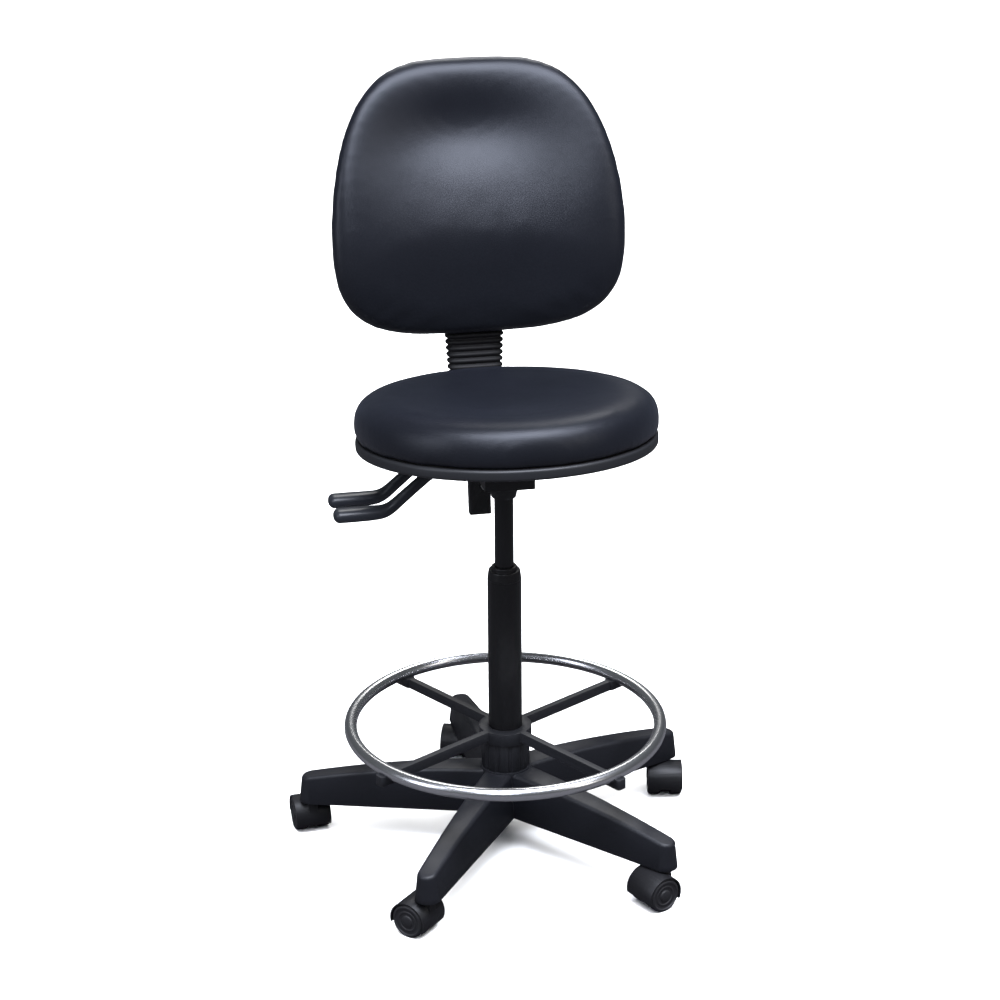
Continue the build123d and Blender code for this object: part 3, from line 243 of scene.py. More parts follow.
wear_group, enter, leave = new_group("edge_wear", {"Width": 0.0015, "Amount": 0.5}, "Mask")
rounding = wear_group.nodes.new("ShaderNodeBevel")
rounding.samples = 4
wear_group.links.new(enter.outputs["Width"], rounding.inputs["Radius"])
surface = wear_group.nodes.new("ShaderNodeNewGeometry")
agree = wear_group.nodes.new("ShaderNodeVectorMath")
agree.operation = "DOT_PRODUCT"
wear_group.links.new(rounding.outputs["Normal"], agree.inputs[0])
wear_group.links.new(surface.outputs["Normal"], agree.inputs[1])
sharp = math_node(wear_group, "SUBTRACT", 1.0, agree.outputs["Value"])
strong = math_node(wear_group, "MULTIPLY", sharp, 6.0)
place = wear_group.nodes.new("ShaderNodeTexCoord").outputs["Object"]
patches = noise_node(wear_group, place, 60.0, 4.0)
broken = math_node(wear_group, "MULTIPLY", strong, patches)
amount = math_node(wear_group, "MULTIPLY", broken, enter.outputs["Amount"])
wear_group.links.new(math_node(wear_group, "MINIMUM", amount, 1.0), leave.inputs["Mask"])

dust_group, enter, leave = new_group("dust", {"Amount": 0.1, "Scale": 22.0}, "Mask")
surface = dust_group.nodes.new("ShaderNodeNewGeometry")
split = dust_group.nodes.new("ShaderNodeSeparateXYZ")
dust_group.links.new(surface.outputs["Normal"], split.inputs[0])
facing_up = math_node(dust_group, "MAXIMUM", split.outputs["Z"], 0.0)
place = dust_group.nodes.new("ShaderNodeTexCoord").outputs["Object"]
specks = noise_node(dust_group, place, enter.outputs["Scale"], 6.0)
settled = math_node(dust_group, "MULTIPLY", facing_up, specks)
dust_group.links.new(
    math_node(dust_group, "MULTIPLY", settled, enter.outputs["Amount"]), leave.inputs["Mask"]
)
print("groups:", [g.name for g in bpy.data.node_groups])

# %% [markdown]
# ## Materials
# One function makes every hard finish: a base colour, worn edges, dust, wandering gloss
# and a grain that feeds the Bump node. Bright metals keep the same effects, with a very
# shallow grain. What stays the same over a whole surface, such as how metallic it is, is set on the
# Principled shader itself.

# %% Materials
def use_group(tree, group, **values):
    """Places a shared effect in a material with its own values; returns its output."""
    node = tree.nodes.new("ShaderNodeGroup")
    node.node_tree = group
    for label, value in values.items():
        node.inputs[label].default_value = value
    return node.outputs[0]


def mix_colors(tree, mask, first, second):
    """Goes from the first colour to the second as the mask goes from 0 to 1."""
    node = tree.nodes.new("ShaderNodeMix")
    node.data_type = "RGBA"
    tree.links.new(mask, node.inputs["Factor"])
    for label, value in (("A", first), ("B", second)):
        socket = [s for s in node.inputs if s.name == label and s.type == "RGBA"][0]
        if isinstance(value, tuple):
            socket.default_value = (*value, 1)
        else:
            tree.links.new(value, socket)
    return [s for s in node.outputs if s.type == "RGBA"][0]


DUST = (0.35, 0.34, 0.32)


def hard_finish(name, color, worn, roughness, spread, grain, depth, wear=0.5, dust=0.05, metal=0.0):
    """A moulded, painted or plated finish; grain is its scale and depth its height in metres."""
    material = bpy.data.materials.new(name)
    material.use_nodes = True
    tree = material.node_tree
    shader = tree.nodes["Principled BSDF"]
    shader.inputs["Metallic"].default_value = metal
    rubbed = use_group(tree, wear_group, Amount=wear)
    settled = use_group(tree, dust_group, Amount=dust)
    shade = mix_colors(tree, settled, mix_colors(tree, rubbed, color, worn), DUST)
    tree.links.new(shade, shader.inputs["Base Color"])
    gloss = use_group(tree, wander_group, Roughness=roughness, Spread=spread)
    tree.links.new(gloss, shader.inputs["Roughness"])
    bump = tree.nodes.new("ShaderNodeBump")
    bump.inputs["Distance"].default_value = depth
    tree.links.new(use_group(tree, grain_group, Scale=grain), bump.inputs["Height"])
    tree.links.new(bump.outputs["Normal"], shader.inputs["Normal"])
    return material


base_nylon = hard_finish(
    "base_nylon", (0.013, 0.014, 0.019), (0.06, 0.062, 0.07), 0.46, 0.12, 700, 0.00012
)
caster_nylon = hard_finish(
    "caster_nylon", (0.012, 0.012, 0.014), (0.07, 0.07, 0.075), 0.42, 0.12, 900, 0.0001
)
wheel_nylon = hard_finish(
    "wheel_nylon", (0.028, 0.028, 0.031), (0.09, 0.09, 0.09), 0.5, 0.15, 500, 0.0001, dust=0.15
)
spider_nylon = hard_finish(
    "spider_nylon", (0.02, 0.021, 0.025), (0.08, 0.08, 0.085), 0.45, 0.12, 800, 0.0001
)
column_paint = hard_finish(
    "column_paint", (0.008, 0.008, 0.009), (0.05, 0.05, 0.05), 0.33, 0.08, 350, 0.00006
)
bracket_paint = hard_finish(
    "bracket_paint", (0.01, 0.01, 0.011), (0.12, 0.12, 0.12), 0.45, 0.1, 350, 0.0001
)
column_plastic = hard_finish(
    "column_plastic", (0.01, 0.01, 0.011), (0.06, 0.06, 0.06), 0.38, 0.08, 900, 0.00005
)
trim_plastic = hard_finish(
    "trim_plastic", (0.022, 0.023, 0.026), (0.1, 0.1, 0.1), 0.4, 0.1, 800, 0.0001
)
shell_plastic = hard_finish(
    "shell_plastic", (0.014, 0.014, 0.016), (0.06, 0.06, 0.06), 0.5, 0.1, 700, 0.0002
)
lever_plastic = hard_finish(
    "lever_plastic", (0.026, 0.029, 0.036), (0.09, 0.1, 0.11), 0.3, 0.1, 900, 0.00008
)
bellows_rubber = hard_finish(
    "bellows_rubber", (0.006, 0.006, 0.007), (0.03, 0.03, 0.03), 0.6, 0.1, 600, 0.0001
)
zinc = hard_finish("zinc", (0.5, 0.5, 0.49), (0.7, 0.7, 0.7), 0.34, 0.2, 400, 0.00003, metal=1.0)
CHROME = (0.96, 0.96, 0.97)
CHROME_WORN = (0.96, 0.96, 0.96)
bright_chrome = hard_finish(
    "bright_chrome", CHROME, CHROME_WORN, 0.26, 0.06, 60, 0.00001, dust=0.02, metal=1.0
)
acetal = hard_finish("acetal", (0.62, 0.61, 0.57), (0.7, 0.7, 0.68), 0.4, 0.1, 700, 0.00005)
stop_rubber = hard_finish(
    "stop_rubber", (0.012, 0.012, 0.012), (0.03, 0.03, 0.03), 0.7, 0.1, 600, 0.0001
)
print("hard finishes:", len(bpy.data.materials) - 1)

# %% [markdown]
# ## Vinyl
# The covers are smooth upholstery vinyl. Close up it has a shallow pebble, and over the foam it
# lies in very slight waves, so two bumps of different size are stacked. Its shine is
# soft and a little blue. A sheen lifts it where it turns away.

# %% Vinyl
VINYL_BLACK = (0.0045, 0.005, 0.0075)
VINYL_RUBBED = (0.009, 0.01, 0.0145)


def make_vinyl(name):
    material = bpy.data.materials.new(name)
    material.use_nodes = True
    tree = material.node_tree
    shader = tree.nodes["Principled BSDF"]
    shader.inputs["Sheen Weight"].default_value = 0.04
    shader.inputs["Sheen Roughness"].default_value = 0.5
    shader.inputs["Sheen Tint"].default_value = (0.6, 0.7, 1.0, 1)
    shader.inputs["Specular Tint"].default_value = (0.9, 0.93, 1.0, 1)
    place = tree.nodes.new("ShaderNodeTexCoord").outputs["Object"]
    rubbed = noise_node(tree, place, 9.0, 4.0)
    tree.links.new(mix_colors(tree, rubbed, VINYL_BLACK, VINYL_RUBBED), shader.inputs["Base Color"])
    gloss = use_group(tree, wander_group, Roughness=0.4, Spread=0.08, Scale=14.0)
    tree.links.new(gloss, shader.inputs["Roughness"])
    waves = tree.nodes.new("ShaderNodeBump")
    waves.inputs["Distance"].default_value = 0.0012
    tree.links.new(noise_node(tree, place, 11.0, 2.0), waves.inputs["Height"])
    pebble = tree.nodes.new("ShaderNodeBump")
    pebble.inputs["Distance"].default_value = 0.00012
    tree.links.new(use_group(tree, grain_group, Scale=1100.0, Pebble=0.8), pebble.inputs["Height"])
    tree.links.new(waves.outputs["Normal"], pebble.inputs["Normal"])
    tree.links.new(pebble.outputs["Normal"], shader.inputs["Normal"])
    return material


vinyl = make_vinyl("black_vinyl")
print("vinyl nodes:", len(vinyl.node_tree.nodes))

# %% [markdown]
# ## Plywood
# The seat and back boards are moulded plywood, stained dark so that a sliver of edge does not
# show. Thin layers cross each other, which a wave in height gives well enough.

# %% Plywood
plywood = bpy.data.materials.new("plywood")
plywood.use_nodes = True
tree = plywood.node_tree
shader = tree.nodes["Principled BSDF"]
place = tree.nodes.new("ShaderNodeTexCoord").outputs["Object"]
plies = tree.nodes.new("ShaderNodeTexWave")
plies.bands_direction = "Z"
plies.inputs["Scale"].default_value = 120.0
plies.inputs["Distortion"].default_value = 1.5
tree.links.new(place, plies.inputs["Vector"])
tree.links.new(
    mix_colors(tree, plies.outputs["Fac"], (0.035, 0.025, 0.018), (0.06, 0.043, 0.03)),
    shader.inputs["Base Color"],
)
tree.links.new(use_group(tree, wander_group, Roughness=0.6), shader.inputs["Roughness"])

# %% [markdown]
# ## Finishes on the CAD parts
# A CAD part whose shape is already right only needs its finish. The record names a slot for
# each node, so a table of slots is enough to dress them all.

# %% Finishes on the CAD parts
SLOT_FINISH = {
    "base_nylon": base_nylon,
    "caster_nylon": caster_nylon,
    "caster_wheel": wheel_nylon,
    "column_paint": column_paint,
    "mechanism_paint": bracket_paint,
    "column_plastic": column_plastic,
    "bush_plastic": acetal,
    "steel": zinc,
    "rod_chrome": bright_chrome,
    "ring_chrome": bright_chrome,
    "spider_nylon": spider_nylon,
    "collar_nylon": spider_nylon,
    "rubber_stop": stop_rubber,
    "board_plywood": plywood,
    "seat_vinyl": vinyl,
    "back_vinyl": vinyl,
    "trim_plastic": trim_plastic,
    "shell_plastic": shell_plastic,
    "lever_plastic": lever_plastic,
    "bellows_rubber": bellows_rubber,
}
slot_of = {part["node"]: part["material_slot"] for part in frame["record"]["subparts"]}
for node, piece in frame["nodes"].items():
    piece.data.materials.clear()
    piece.data.materials.append(SLOT_FINISH[slot_of[node]])
print("dressed:", len(slot_of), "parts")

# %% [markdown]
# ## Making a piece
# New pieces start the same way: the bmesh becomes an object at the origin with the finish it is given, and its
# faces are shaded smooth. Most are then told which CAD part they stand for, so they ride on that part's body and
# hide it.

# %% Making a piece
body_of_node = {n: body for body, nodes in frame["record"]["behaviour"]["bodies"].items() for n in nodes}


def add_piece(name, shape, finish):
    """Turns a bmesh into an object at the origin with one finish."""
    mesh = bpy.data.meshes.new(name)
    shape.to_mesh(mesh)
    shape.free()
    mesh.materials.append(finish)
    mesh.polygons.foreach_set("use_smooth", [True] * len(mesh.polygons))
    piece = bpy.data.objects.new(name, mesh)
    scene.collection.objects.link(piece)
    return piece


def stand_for(piece, *nodes):
    """The piece moves with these CAD parts and hides them."""
    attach(piece, body_of_node[nodes[0]])
    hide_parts(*nodes)
    return piece


def turned(profile, steps=96):
    """A closed outline of (radius, height) points, spun about Z into a solid."""
    shape = bmesh.new()
    corners = [shape.verts.new((radius, 0, height)) for radius, height in profile]
    sides = [shape.edges.new(pair) for pair in zip(corners, corners[1:] + corners[:1])]
    bmesh.ops.spin(
        shape,
        geom=corners + sides,
        axis=(0, 0, 1),
        cent=(0, 0, 0),
        angle=2 * math.pi,
        steps=steps,
        use_merge=True,
    )
    bmesh.ops.remove_doubles(shape, verts=shape.verts, dist=1e-6)
    bmesh.ops.dissolve_degenerate(shape, edges=shape.edges, dist=1e-7)
    bmesh.ops.recalc_face_normals(shape, faces=shape.faces)
    return shape


def rounded_box_outline(inner, outer, low, high, rounding, steps=4):
    """The (radius, height) outline of a ring with a rounded rectangular section."""
    outline = []
    corners = (
        (outer - rounding, high - rounding, 0),
        (inner + rounding, high - rounding, 90),
        (inner + rounding, low + rounding, 180),
        (outer - rounding, low + rounding, 270),
    )
    for across, up, start in corners:
        for step in range(steps + 1):
            turn = math.radians(start + 90 * step / steps)
            outline.append((across + rounding * math.cos(turn), up + rounding * math.sin(turn)))
    return outline


# %% [markdown]
# ## Foot ring
# The ring is a tube bent to a circle and chromed. A spun circle of many short steps keeps
# its reflections clean, which a coarse mesh would break into facets.

# %% Foot ring
ring_low, ring_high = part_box("foot_ring")
tube_radius = (ring_high.z - ring_low.z) / 2
ring_radius = (ring_high.x - ring_low.x) / 2 - tube_radius
ring_height = (ring_high.z + ring_low.z) / 2
TUBE_STEPS = 32
section = [
    (
        ring_radius + tube_radius * math.cos(2 * math.pi * step / TUBE_STEPS),
        ring_height + tube_radius * math.sin(2 * math.pi * step / TUBE_STEPS),
    )
    for step in range(TUBE_STEPS)
]
ring = add_piece("foot_ring_tube", turned(section, 256), bright_chrome)
stand_for(ring, "foot_ring")
print("ring radius:", round(ring_radius, 4), "tube:", round(2 * tube_radius, 4))

# %% [markdown]
# ## Puffing up a pad
# Foam under a stretched cover has a shape that is hard to draw and easy to simulate. The pad
# starts a little small, is remeshed to even squares and becomes cloth with air pressure
# inside. Where it is glued or stapled it is pinned. Every point's travel is capped, the
# result is frozen and one subdivision smooths it.

# %% Puffing up a pad
VOXEL = 0.0055
PRESSURE = 4.0
PUFF_FRAMES = 20


def frozen(piece):
    """The piece's mesh with its modifiers worked in."""
    bpy.context.view_layer.update()
    return bpy.data.meshes.new_from_object(piece.evaluated_get(bpy.context.evaluated_depsgraph_get()))


def apply_all(piece):
    """Works every modifier into the mesh and takes them off."""
    mesh = frozen(piece)
    piece.modifiers.clear()
    piece.data = mesh
    mesh.polygons.foreach_set("use_smooth", [True] * len(mesh.polygons))


def puff(piece, pin_weight, cap):
    """Swells a closed pad; pin_weight(point) is 1 where it can't move, cap in metres."""
    remesh = piece.modifiers.new("even", "REMESH")
    remesh.mode = "VOXEL"
    remesh.voxel_size = VOXEL
    apply_all(piece)
    start = [vertex.co.copy() for vertex in piece.data.vertices]
    pins = piece.vertex_groups.new(name="pins")
    for index, point in enumerate(start):
        pins.add([index], pin_weight(point), "REPLACE")
    cloth = piece.modifiers.new("swell", "CLOTH").settings
    cloth.vertex_group_mass = "pins"
    cloth.quality = 5
    cloth.mass = 0.3
    cloth.tension_stiffness = 25.0
    cloth.compression_stiffness = 25.0
    cloth.bending_stiffness = 1.0
    cloth.use_pressure = True
    cloth.uniform_pressure_force = PRESSURE
    cloth.effector_weights.gravity = 0.0
    for step in range(1, PUFF_FRAMES + 1):
        scene.frame_set(step)
    apply_all(piece)
    scene.frame_set(1)
    for vertex, before in zip(piece.data.vertices, start):
        move = vertex.co - before
        if move.length > cap:
            vertex.co = before + move.normalized() * cap
    furthest = max((v.co - b).length for v, b in zip(piece.data.vertices, start))
    print(piece.name, "swelled by", round(furthest * 1000, 1), "mm at most")
    soften = piece.modifiers.new("soften", "SMOOTH")
    soften.factor = 0.5
    soften.iterations = 16
    finer = piece.modifiers.new("finer", "SUBSURF")
    finer.levels = 1
    finer.render_levels = 1
    apply_all(piece)


# %% [markdown]
# ## Seat pad
# The seat is a thick disc of foam with a raised rim and a shallow dish for the sitter. Its
# outline is drawn on the seat's own tilted plane and spun round. The cover is stapled
# under the board, so the bottom is pinned, and so is the dish, which the foam holds down.

# %% Seat pad
SEAT_TILT = math.radians(5.6)
SEAT_ORIGIN = Vector((0, -0.024, 0.6565))
seat_place = Matrix.Translation(SEAT_ORIGIN) @ Matrix.Rotation(-SEAT_TILT, 4, "X")
SEAT_RADIUS = 0.2145
SEAT_BOTTOM = -0.0008
SEAT_RIM = 0.0565
RIM_RADIUS = 0.178
SEAM_ROUND = 0.002
DISH_DEPTH = 0.015
SHOULDER_START = 0.018
SHOULDER_OUT_POWER = 0.85
SHOULDER_UP_POWER = 0.8

seat_outline = [(0.0, SEAT_BOTTOM), (SEAT_RADIUS - 2 * SEAM_ROUND, SEAT_BOTTOM)]
seat_outline.append((SEAT_RADIUS - SEAM_ROUND / 3, SEAT_BOTTOM + SEAM_ROUND))
SIDE_STEPS = 14
for step in range(SIDE_STEPS + 1):
    turn = math.radians(90 * step / SIDE_STEPS)
    radius = RIM_RADIUS + (SEAT_RADIUS - RIM_RADIUS) * math.cos(turn) ** SHOULDER_OUT_POWER
    rise = (SEAT_RIM - SHOULDER_START) * math.sin(turn) ** SHOULDER_UP_POWER
    seat_outline.append((radius, SHOULDER_START + rise))
DISH_STEPS = 18
for step in range(1, DISH_STEPS + 1):
    radius = RIM_RADIUS * (1 - step / DISH_STEPS)
    fall = DISH_DEPTH * (1 + math.cos(math.pi * min(1.0, radius / RIM_RADIUS))) / 2
    seat_outline.append((radius, SEAT_RIM - fall))
seat_shape = turned(seat_outline, 128)
bmesh.ops.transform(seat_shape, matrix=seat_place, verts=seat_shape.verts)
seat_pad = add_piece("seat_pad", seat_shape, vinyl)
from_seat = seat_place.inverted()
STAPLED_BELOW = 0.005
TOP_ABOVE = 0.03
DISH_EDGE = 0.16
DISH_EDGE_FADE = 0.06


def seat_pins(point):
    """1 along the stapled bottom and the middle of the dish, 0 round the rim."""
    local = from_seat @ point
    if local.z < STAPLED_BELOW:
        return 1.0
    if local.z <= TOP_ABOVE:
        return 0.0
    reach = math.hypot(local.x, local.y)
    return max(0.0, min(1.0, (DISH_EDGE - reach) / DISH_EDGE_FADE))


PAD_TRAVEL = 0.004
puff(seat_pad, seat_pins, PAD_TRAVEL)
stand_for(seat_pad, "seat_cushion")
print("seat pad faces:", len(seat_pad.data.polygons))

# %% [markdown]
# ## Back pad
# The back rest is wider than tall, with full round shoulders. It wraps round the sitter and
# bulges at the waist, and above that it is slightly hollow. A sphere has the right
# topology for such a closed pillow, so each of its points is moved by formula: round the
# outline, through the thickness, and then back onto the curved board.

# %% Back pad
BACK_HALF_WIDTH = 0.216
BACK_WIDEST = 0.896
BACK_TOP = 1.1375
BACK_BOTTOM = 0.7365
BACK_PLAN_RADIUS = 0.55
BACK_FACE = 0.215
BACK_WAIST = 0.900
BACK_LEAN = math.radians(6.0)
PAD_FRONT = 0.041
PAD_REAR = 0.0115
LUMBAR_PUSH = 0.015
LUMBAR_HEIGHT = 0.895
LUMBAR_SPREAD = 0.07
HOLLOW_DEPTH = 0.026
HOLLOW_HEIGHT = 1.045
HOLLOW_SPREAD = (0.125, 0.055)
HOLLOW_SIDE = -0.015
UPPER_POWERS = (3.81, 1.86)
LOWER_POWERS = (2.98, 3.0)
BOARD_CURVE = 0.012
BOARD_CURVE_SPAN = 0.2


def signed_power(value, power):
    """A power that keeps the value's sign."""
    return math.copysign(abs(value) ** power, value)


def back_outline(turn, inset=0.0):
    """(x, z) on the back rest's edge; turn runs from +X over the top."""
    across, up = math.cos(turn), math.sin(turn)
    side_power, end_power = UPPER_POWERS if up > 0 else LOWER_POWERS
    reach = (BACK_TOP - BACK_WIDEST if up > 0 else BACK_WIDEST - BACK_BOTTOM) - inset
    x = (BACK_HALF_WIDTH - inset) * signed_power(across, 2 / side_power)
    return x, BACK_WIDEST + reach * signed_power(up, 2 / end_power)


def board_y(x, z):
    """Where the back board's curved surface lies."""
    rise = z - BACK_WAIST
    curve = BOARD_CURVE * (rise / BOARD_CURVE_SPAN) ** 2
    middle = BACK_FACE + rise * math.tan(BACK_LEAN) + curve
    centre = BACK_FACE - BACK_PLAN_RADIUS
    return centre + math.sqrt((middle - centre) ** 2 - x * x)


def bell(value, middle, width):
    """1 at the middle, fading smoothly to 0 on both sides."""
    return math.exp(-(((value - middle) / width) ** 2))


def front_set(x, z):
    """Extra thickness of the foam in front of the board."""
    inward = 1 - min(1.0, abs(x) / BACK_HALF_WIDTH) ** 2
    waist = LUMBAR_PUSH * bell(z, LUMBAR_HEIGHT, LUMBAR_SPREAD) * inward
    wide, tall = HOLLOW_SPREAD
    hollow = HOLLOW_DEPTH * bell(z, HOLLOW_HEIGHT, tall) * bell(x, HOLLOW_SIDE, wide)
    return waist - hollow


PAD_SPREAD_POWER = 0.75
PAD_EDGE_POWERS = (3.64, 0.25)
back_shape = bmesh.new()
bmesh.ops.create_uvsphere(back_shape, u_segments=96, v_segments=64, radius=1.0)
for vertex in back_shape.verts:
    x, y, depth = vertex.co
    spread = min(1.0, math.hypot(x, y))
    edge_x, edge_z = back_outline(math.atan2(y, x))
    filled = spread**PAD_SPREAD_POWER
    px = edge_x * filled
    pz = BACK_WIDEST + (edge_z - BACK_WIDEST) * filled
    share = max(0.0, 1 - filled ** PAD_EDGE_POWERS[0]) ** PAD_EDGE_POWERS[1]
    if depth > 0:
        offset = -(PAD_FRONT + front_set(px, pz)) * share
    else:
        offset = PAD_REAR * share
    vertex.co = (px, board_y(px, pz) + offset, pz)
bmesh.ops.recalc_face_normals(back_shape, faces=back_shape.faces)
back_pad = add_piece("back_pad", back_shape, vinyl)


STAPLED_DEPTH = 0.006
HOLLOW_HOLD = 0.85
HOLD_SPREAD = (0.14, 0.06)


def back_pins(point):
    """1 against the board, nearly as much in the hollow, 0 elsewhere."""
    if point.y > board_y(point.x, point.z) - STAPLED_DEPTH:
        return 1.0
    wide, tall = HOLD_SPREAD
    return HOLLOW_HOLD * bell(point.z, HOLLOW_HEIGHT, tall) * bell(point.x, HOLLOW_SIDE, wide)


puff(back_pad, back_pins, PAD_TRAVEL)
stand_for(back_pad, "back_cushion")
print("back pad faces:", len(back_pad.data.polygons))

# %% [markdown]
# ## Rounded edges on the CAD mouldings
# A CAD edge is perfectly sharp, and no moulding or pressing is. Each such part is copied, its
# loose triangles are joined, flat areas are made whole again, and a Bevel modifier rounds
# every edge that turns sharply, so that each one catches a thin line of light.

# %% Rounded edges on the CAD mouldings
SHARP_TURN = math.radians(35)
FLAT_TURN = math.radians(0.1)
SAME_POINT = 2e-6


def softened(node, rounding):
    """A copy of a CAD part with rounded edges, standing for it."""
    shape = bmesh.new()
    shape.from_mesh(frame["nodes"][node].data)
    bmesh.ops.remove_doubles(shape, verts=shape.verts, dist=SAME_POINT)
    loose_area = sum(face.calc_area() for face in shape.faces)
    bmesh.ops.dissolve_limit(
        shape, angle_limit=FLAT_TURN, verts=shape.verts, edges=shape.edges
    )
    bmesh.ops.triangulate(shape, faces=shape.faces)
    kept_area = sum(face.calc_area() for face in shape.faces)
    print(node, "area kept:", round(kept_area / loose_area, 4))
    piece = add_piece(node + "_moulding", shape, SLOT_FINISH[slot_of[node]])
    bevel = piece.modifiers.new("rounded", "BEVEL")
    bevel.width = rounding
    bevel.segments = 2
    bevel.limit_method = "ANGLE"
    bevel.angle_limit = SHARP_TURN
    bevel.harden_normals = True
    return stand_for(piece, node)


ROUNDINGS = {
    "base_star": 0.0035,
    "foot_ring_spider": 0.0015,
    "foot_ring_lock_collar": 0.0012,
    "column_cap": 0.0006,
    "mechanism_housing": 0.0008,
    "back_arm": 0.0008,
    "back_bracket": 0.0008,
    "back_upright": 0.0008,
}
for number in range(1, 6):
    ROUNDINGS[f"caster_{number}_hood"] = 0.0007
for node, rounding in ROUNDINGS.items():
    softened(node, rounding)
print("rounded:", len(ROUNDINGS), "parts")

# %% [markdown]
# ## Back shell
# A thin moulding clips over the rear of the board. A raised channel runs down its middle and
# covers the upright. The moulding has one continuous skin, so its rear is a single surface
# that follows the board and swells smoothly into the channel, with closed corners.

# %% Back shell
SHELL_INSET = 0.009
SHELL_FRONT = 0.0125
SHELL_THICK = 0.003
CHANNEL_RISE = 0.0295
CHANNEL_HALF_WIDTH = 0.0515
CHANNEL_TOP = 0.953
CHANNEL_MIDDLE = 0.848
CHANNEL_WALL = (0.93, 1.04)
CHANNEL_SQUARENESS = 6
SHELL_SPREAD_POWER = 0.9
SHELL_EDGE_POWER = 0.4


def ease(share):
    """Goes from 0 to 1 with a gentle start and end."""
    share = max(0.0, min(1.0, share))
    return share * share * (3 - 2 * share)


def channel(x, z):
    """How far the shell stands back for the upright."""
    across = abs(x) / CHANNEL_HALF_WIDTH
    above = max(0.0, z - CHANNEL_MIDDLE) / (CHANNEL_TOP - CHANNEL_MIDDLE)
    reach = (across**CHANNEL_SQUARENESS + above**CHANNEL_SQUARENESS) ** (1 / CHANNEL_SQUARENESS)
    start, end = CHANNEL_WALL
    return CHANNEL_RISE * (1 - ease((reach - start) / (end - start)))


shell_shape = bmesh.new()
bmesh.ops.create_uvsphere(shell_shape, u_segments=256, v_segments=160, radius=1.0)
for vertex in shell_shape.verts:
    x, y, depth = vertex.co
    filled = min(1.0, math.hypot(x, y)) ** SHELL_SPREAD_POWER
    edge_x, edge_z = back_outline(math.atan2(y, x), SHELL_INSET)
    px = edge_x * filled
    pz = BACK_WIDEST + (edge_z - BACK_WIDEST) * filled
    offset = SHELL_FRONT
    if depth < 0:
        offset += SHELL_THICK * abs(depth) ** SHELL_EDGE_POWER + channel(px, pz)
    vertex.co = (px, board_y(px, pz) + offset, pz)
bmesh.ops.recalc_face_normals(shell_shape, faces=shell_shape.faces)
shell = stand_for(add_piece("back_shell_moulding", shell_shape, shell_plastic), "back_shell")
print("shell faces:", len(shell.data.polygons))

# %% [markdown]
# ## Seat edge trim
# A moulded strip hides the staples round the board. On the real seat it is a shade lighter
# than the cover, with a soft bulge that carries one long highlight, so its section is
# a rounded box, spun round on the seat's own plane.

# %% Seat edge trim
TRIM_OUTER = 0.2132
TRIM_INNER = 0.1945
TRIM_TOP = -0.0012
TRIM_BOTTOM = -0.0168
trim_outline = rounded_box_outline(TRIM_INNER, TRIM_OUTER, TRIM_BOTTOM, TRIM_TOP, 0.004, 6)
trim_shape = turned(trim_outline, 160)
bmesh.ops.transform(trim_shape, matrix=seat_place, verts=trim_shape.verts)
trim = stand_for(add_piece("seat_trim_strip", trim_shape, trim_plastic), "seat_edge_trim")
print("trim faces:", len(trim.data.polygons))

# %% [markdown]
# ## Caster wheels
# A twin-wheel caster's discs show stepped rings round a small hub. One outline is spun
# into a wheel, and the ten copies are placed by the joints that they turn on, which give the
# axle's place and direction.

# %% Caster wheels
WHEEL_SET = 0.0071
WHEEL_OUTLINE = [
    (0.0, 0.0),
    (0.0222, 0.0),
    (0.0242, 0.0012),
    (0.0250, 0.0040),
    (0.0250, 0.0150),
    (0.0243, 0.0180),
    (0.0226, 0.0194),
    (0.0206, 0.0196),
    (0.0198, 0.0182),
    (0.0158, 0.0177),
    (0.0150, 0.0186),
    (0.0132, 0.0186),
    (0.0125, 0.0176),
    (0.0088, 0.0175),
    (0.0080, 0.0190),
    (0.0062, 0.0196),
    (0.0, 0.0196),
]


def place_wheel(number, side, outward):
    """Makes one wheel on its own axle, facing outward."""
    joint = joints[f"caster_{number}_wheel_{side}_spin"]
    along = Vector(joint["axis"]).normalized() * outward
    turn = along.to_track_quat("Z", "Y").to_matrix().to_4x4()
    shape = turned(WHEEL_OUTLINE, 64)
    home = Matrix.Translation(Vector(joint["pos_m"]) + along * WHEEL_SET) @ turn
    bmesh.ops.transform(shape, matrix=home, verts=shape.verts)
    piece = add_piece(f"caster_{number}_disc_{side}", shape, wheel_nylon)
    edges = piece.modifiers.new("rounded", "BEVEL")
    edges.width = 0.0003
    edges.segments = 2
    edges.limit_method = "ANGLE"
    edges.angle_limit = math.radians(25)
    stand_for(piece, f"caster_{number}_wheel_{side}")


for number in range(1, 6):
    place_wheel(number, "left", 1)
    place_wheel(number, "right", -1)
print("wheel axles:", [j for j in joints if j.endswith("_left_spin")])

# %% [markdown]
# ## Bellows
# A rubber concertina hides the upright between the seat and the back rest. It is one tube whose ribs step in and
# out, so a rounded rectangle is extruded rib by rib. The back rest slides up and down, but the bellows rides on no
# body: it stays where it is built and does not stretch.

# %% Bellows
UPRIGHT_LEAN = math.radians(7.0)
UPRIGHT_ORIGIN = Vector((0, 0.217, 0.660))
upright_place = Matrix.Translation(UPRIGHT_ORIGIN) @ Matrix.Rotation(-UPRIGHT_LEAN, 4, "X")
BELLOWS_START = -0.0217
BELLOWS_RIB_PITCH = 0.0095
BELLOWS_RIBS = 10
BELLOWS_HALF = (0.0395, 0.017)
BELLOWS_FOLD = 0.0045
BELLOWS_FLARE = 0.005
CORNER_POWERS = (0.42, 0.62)
RIB_SHAPE = [(0.12, 0.6), (0.28, 0.15), (0.5, 0.0), (0.72, 0.15), (0.88, 0.6), (1.0, 1.0)]
OUTLINE_POINTS = 48

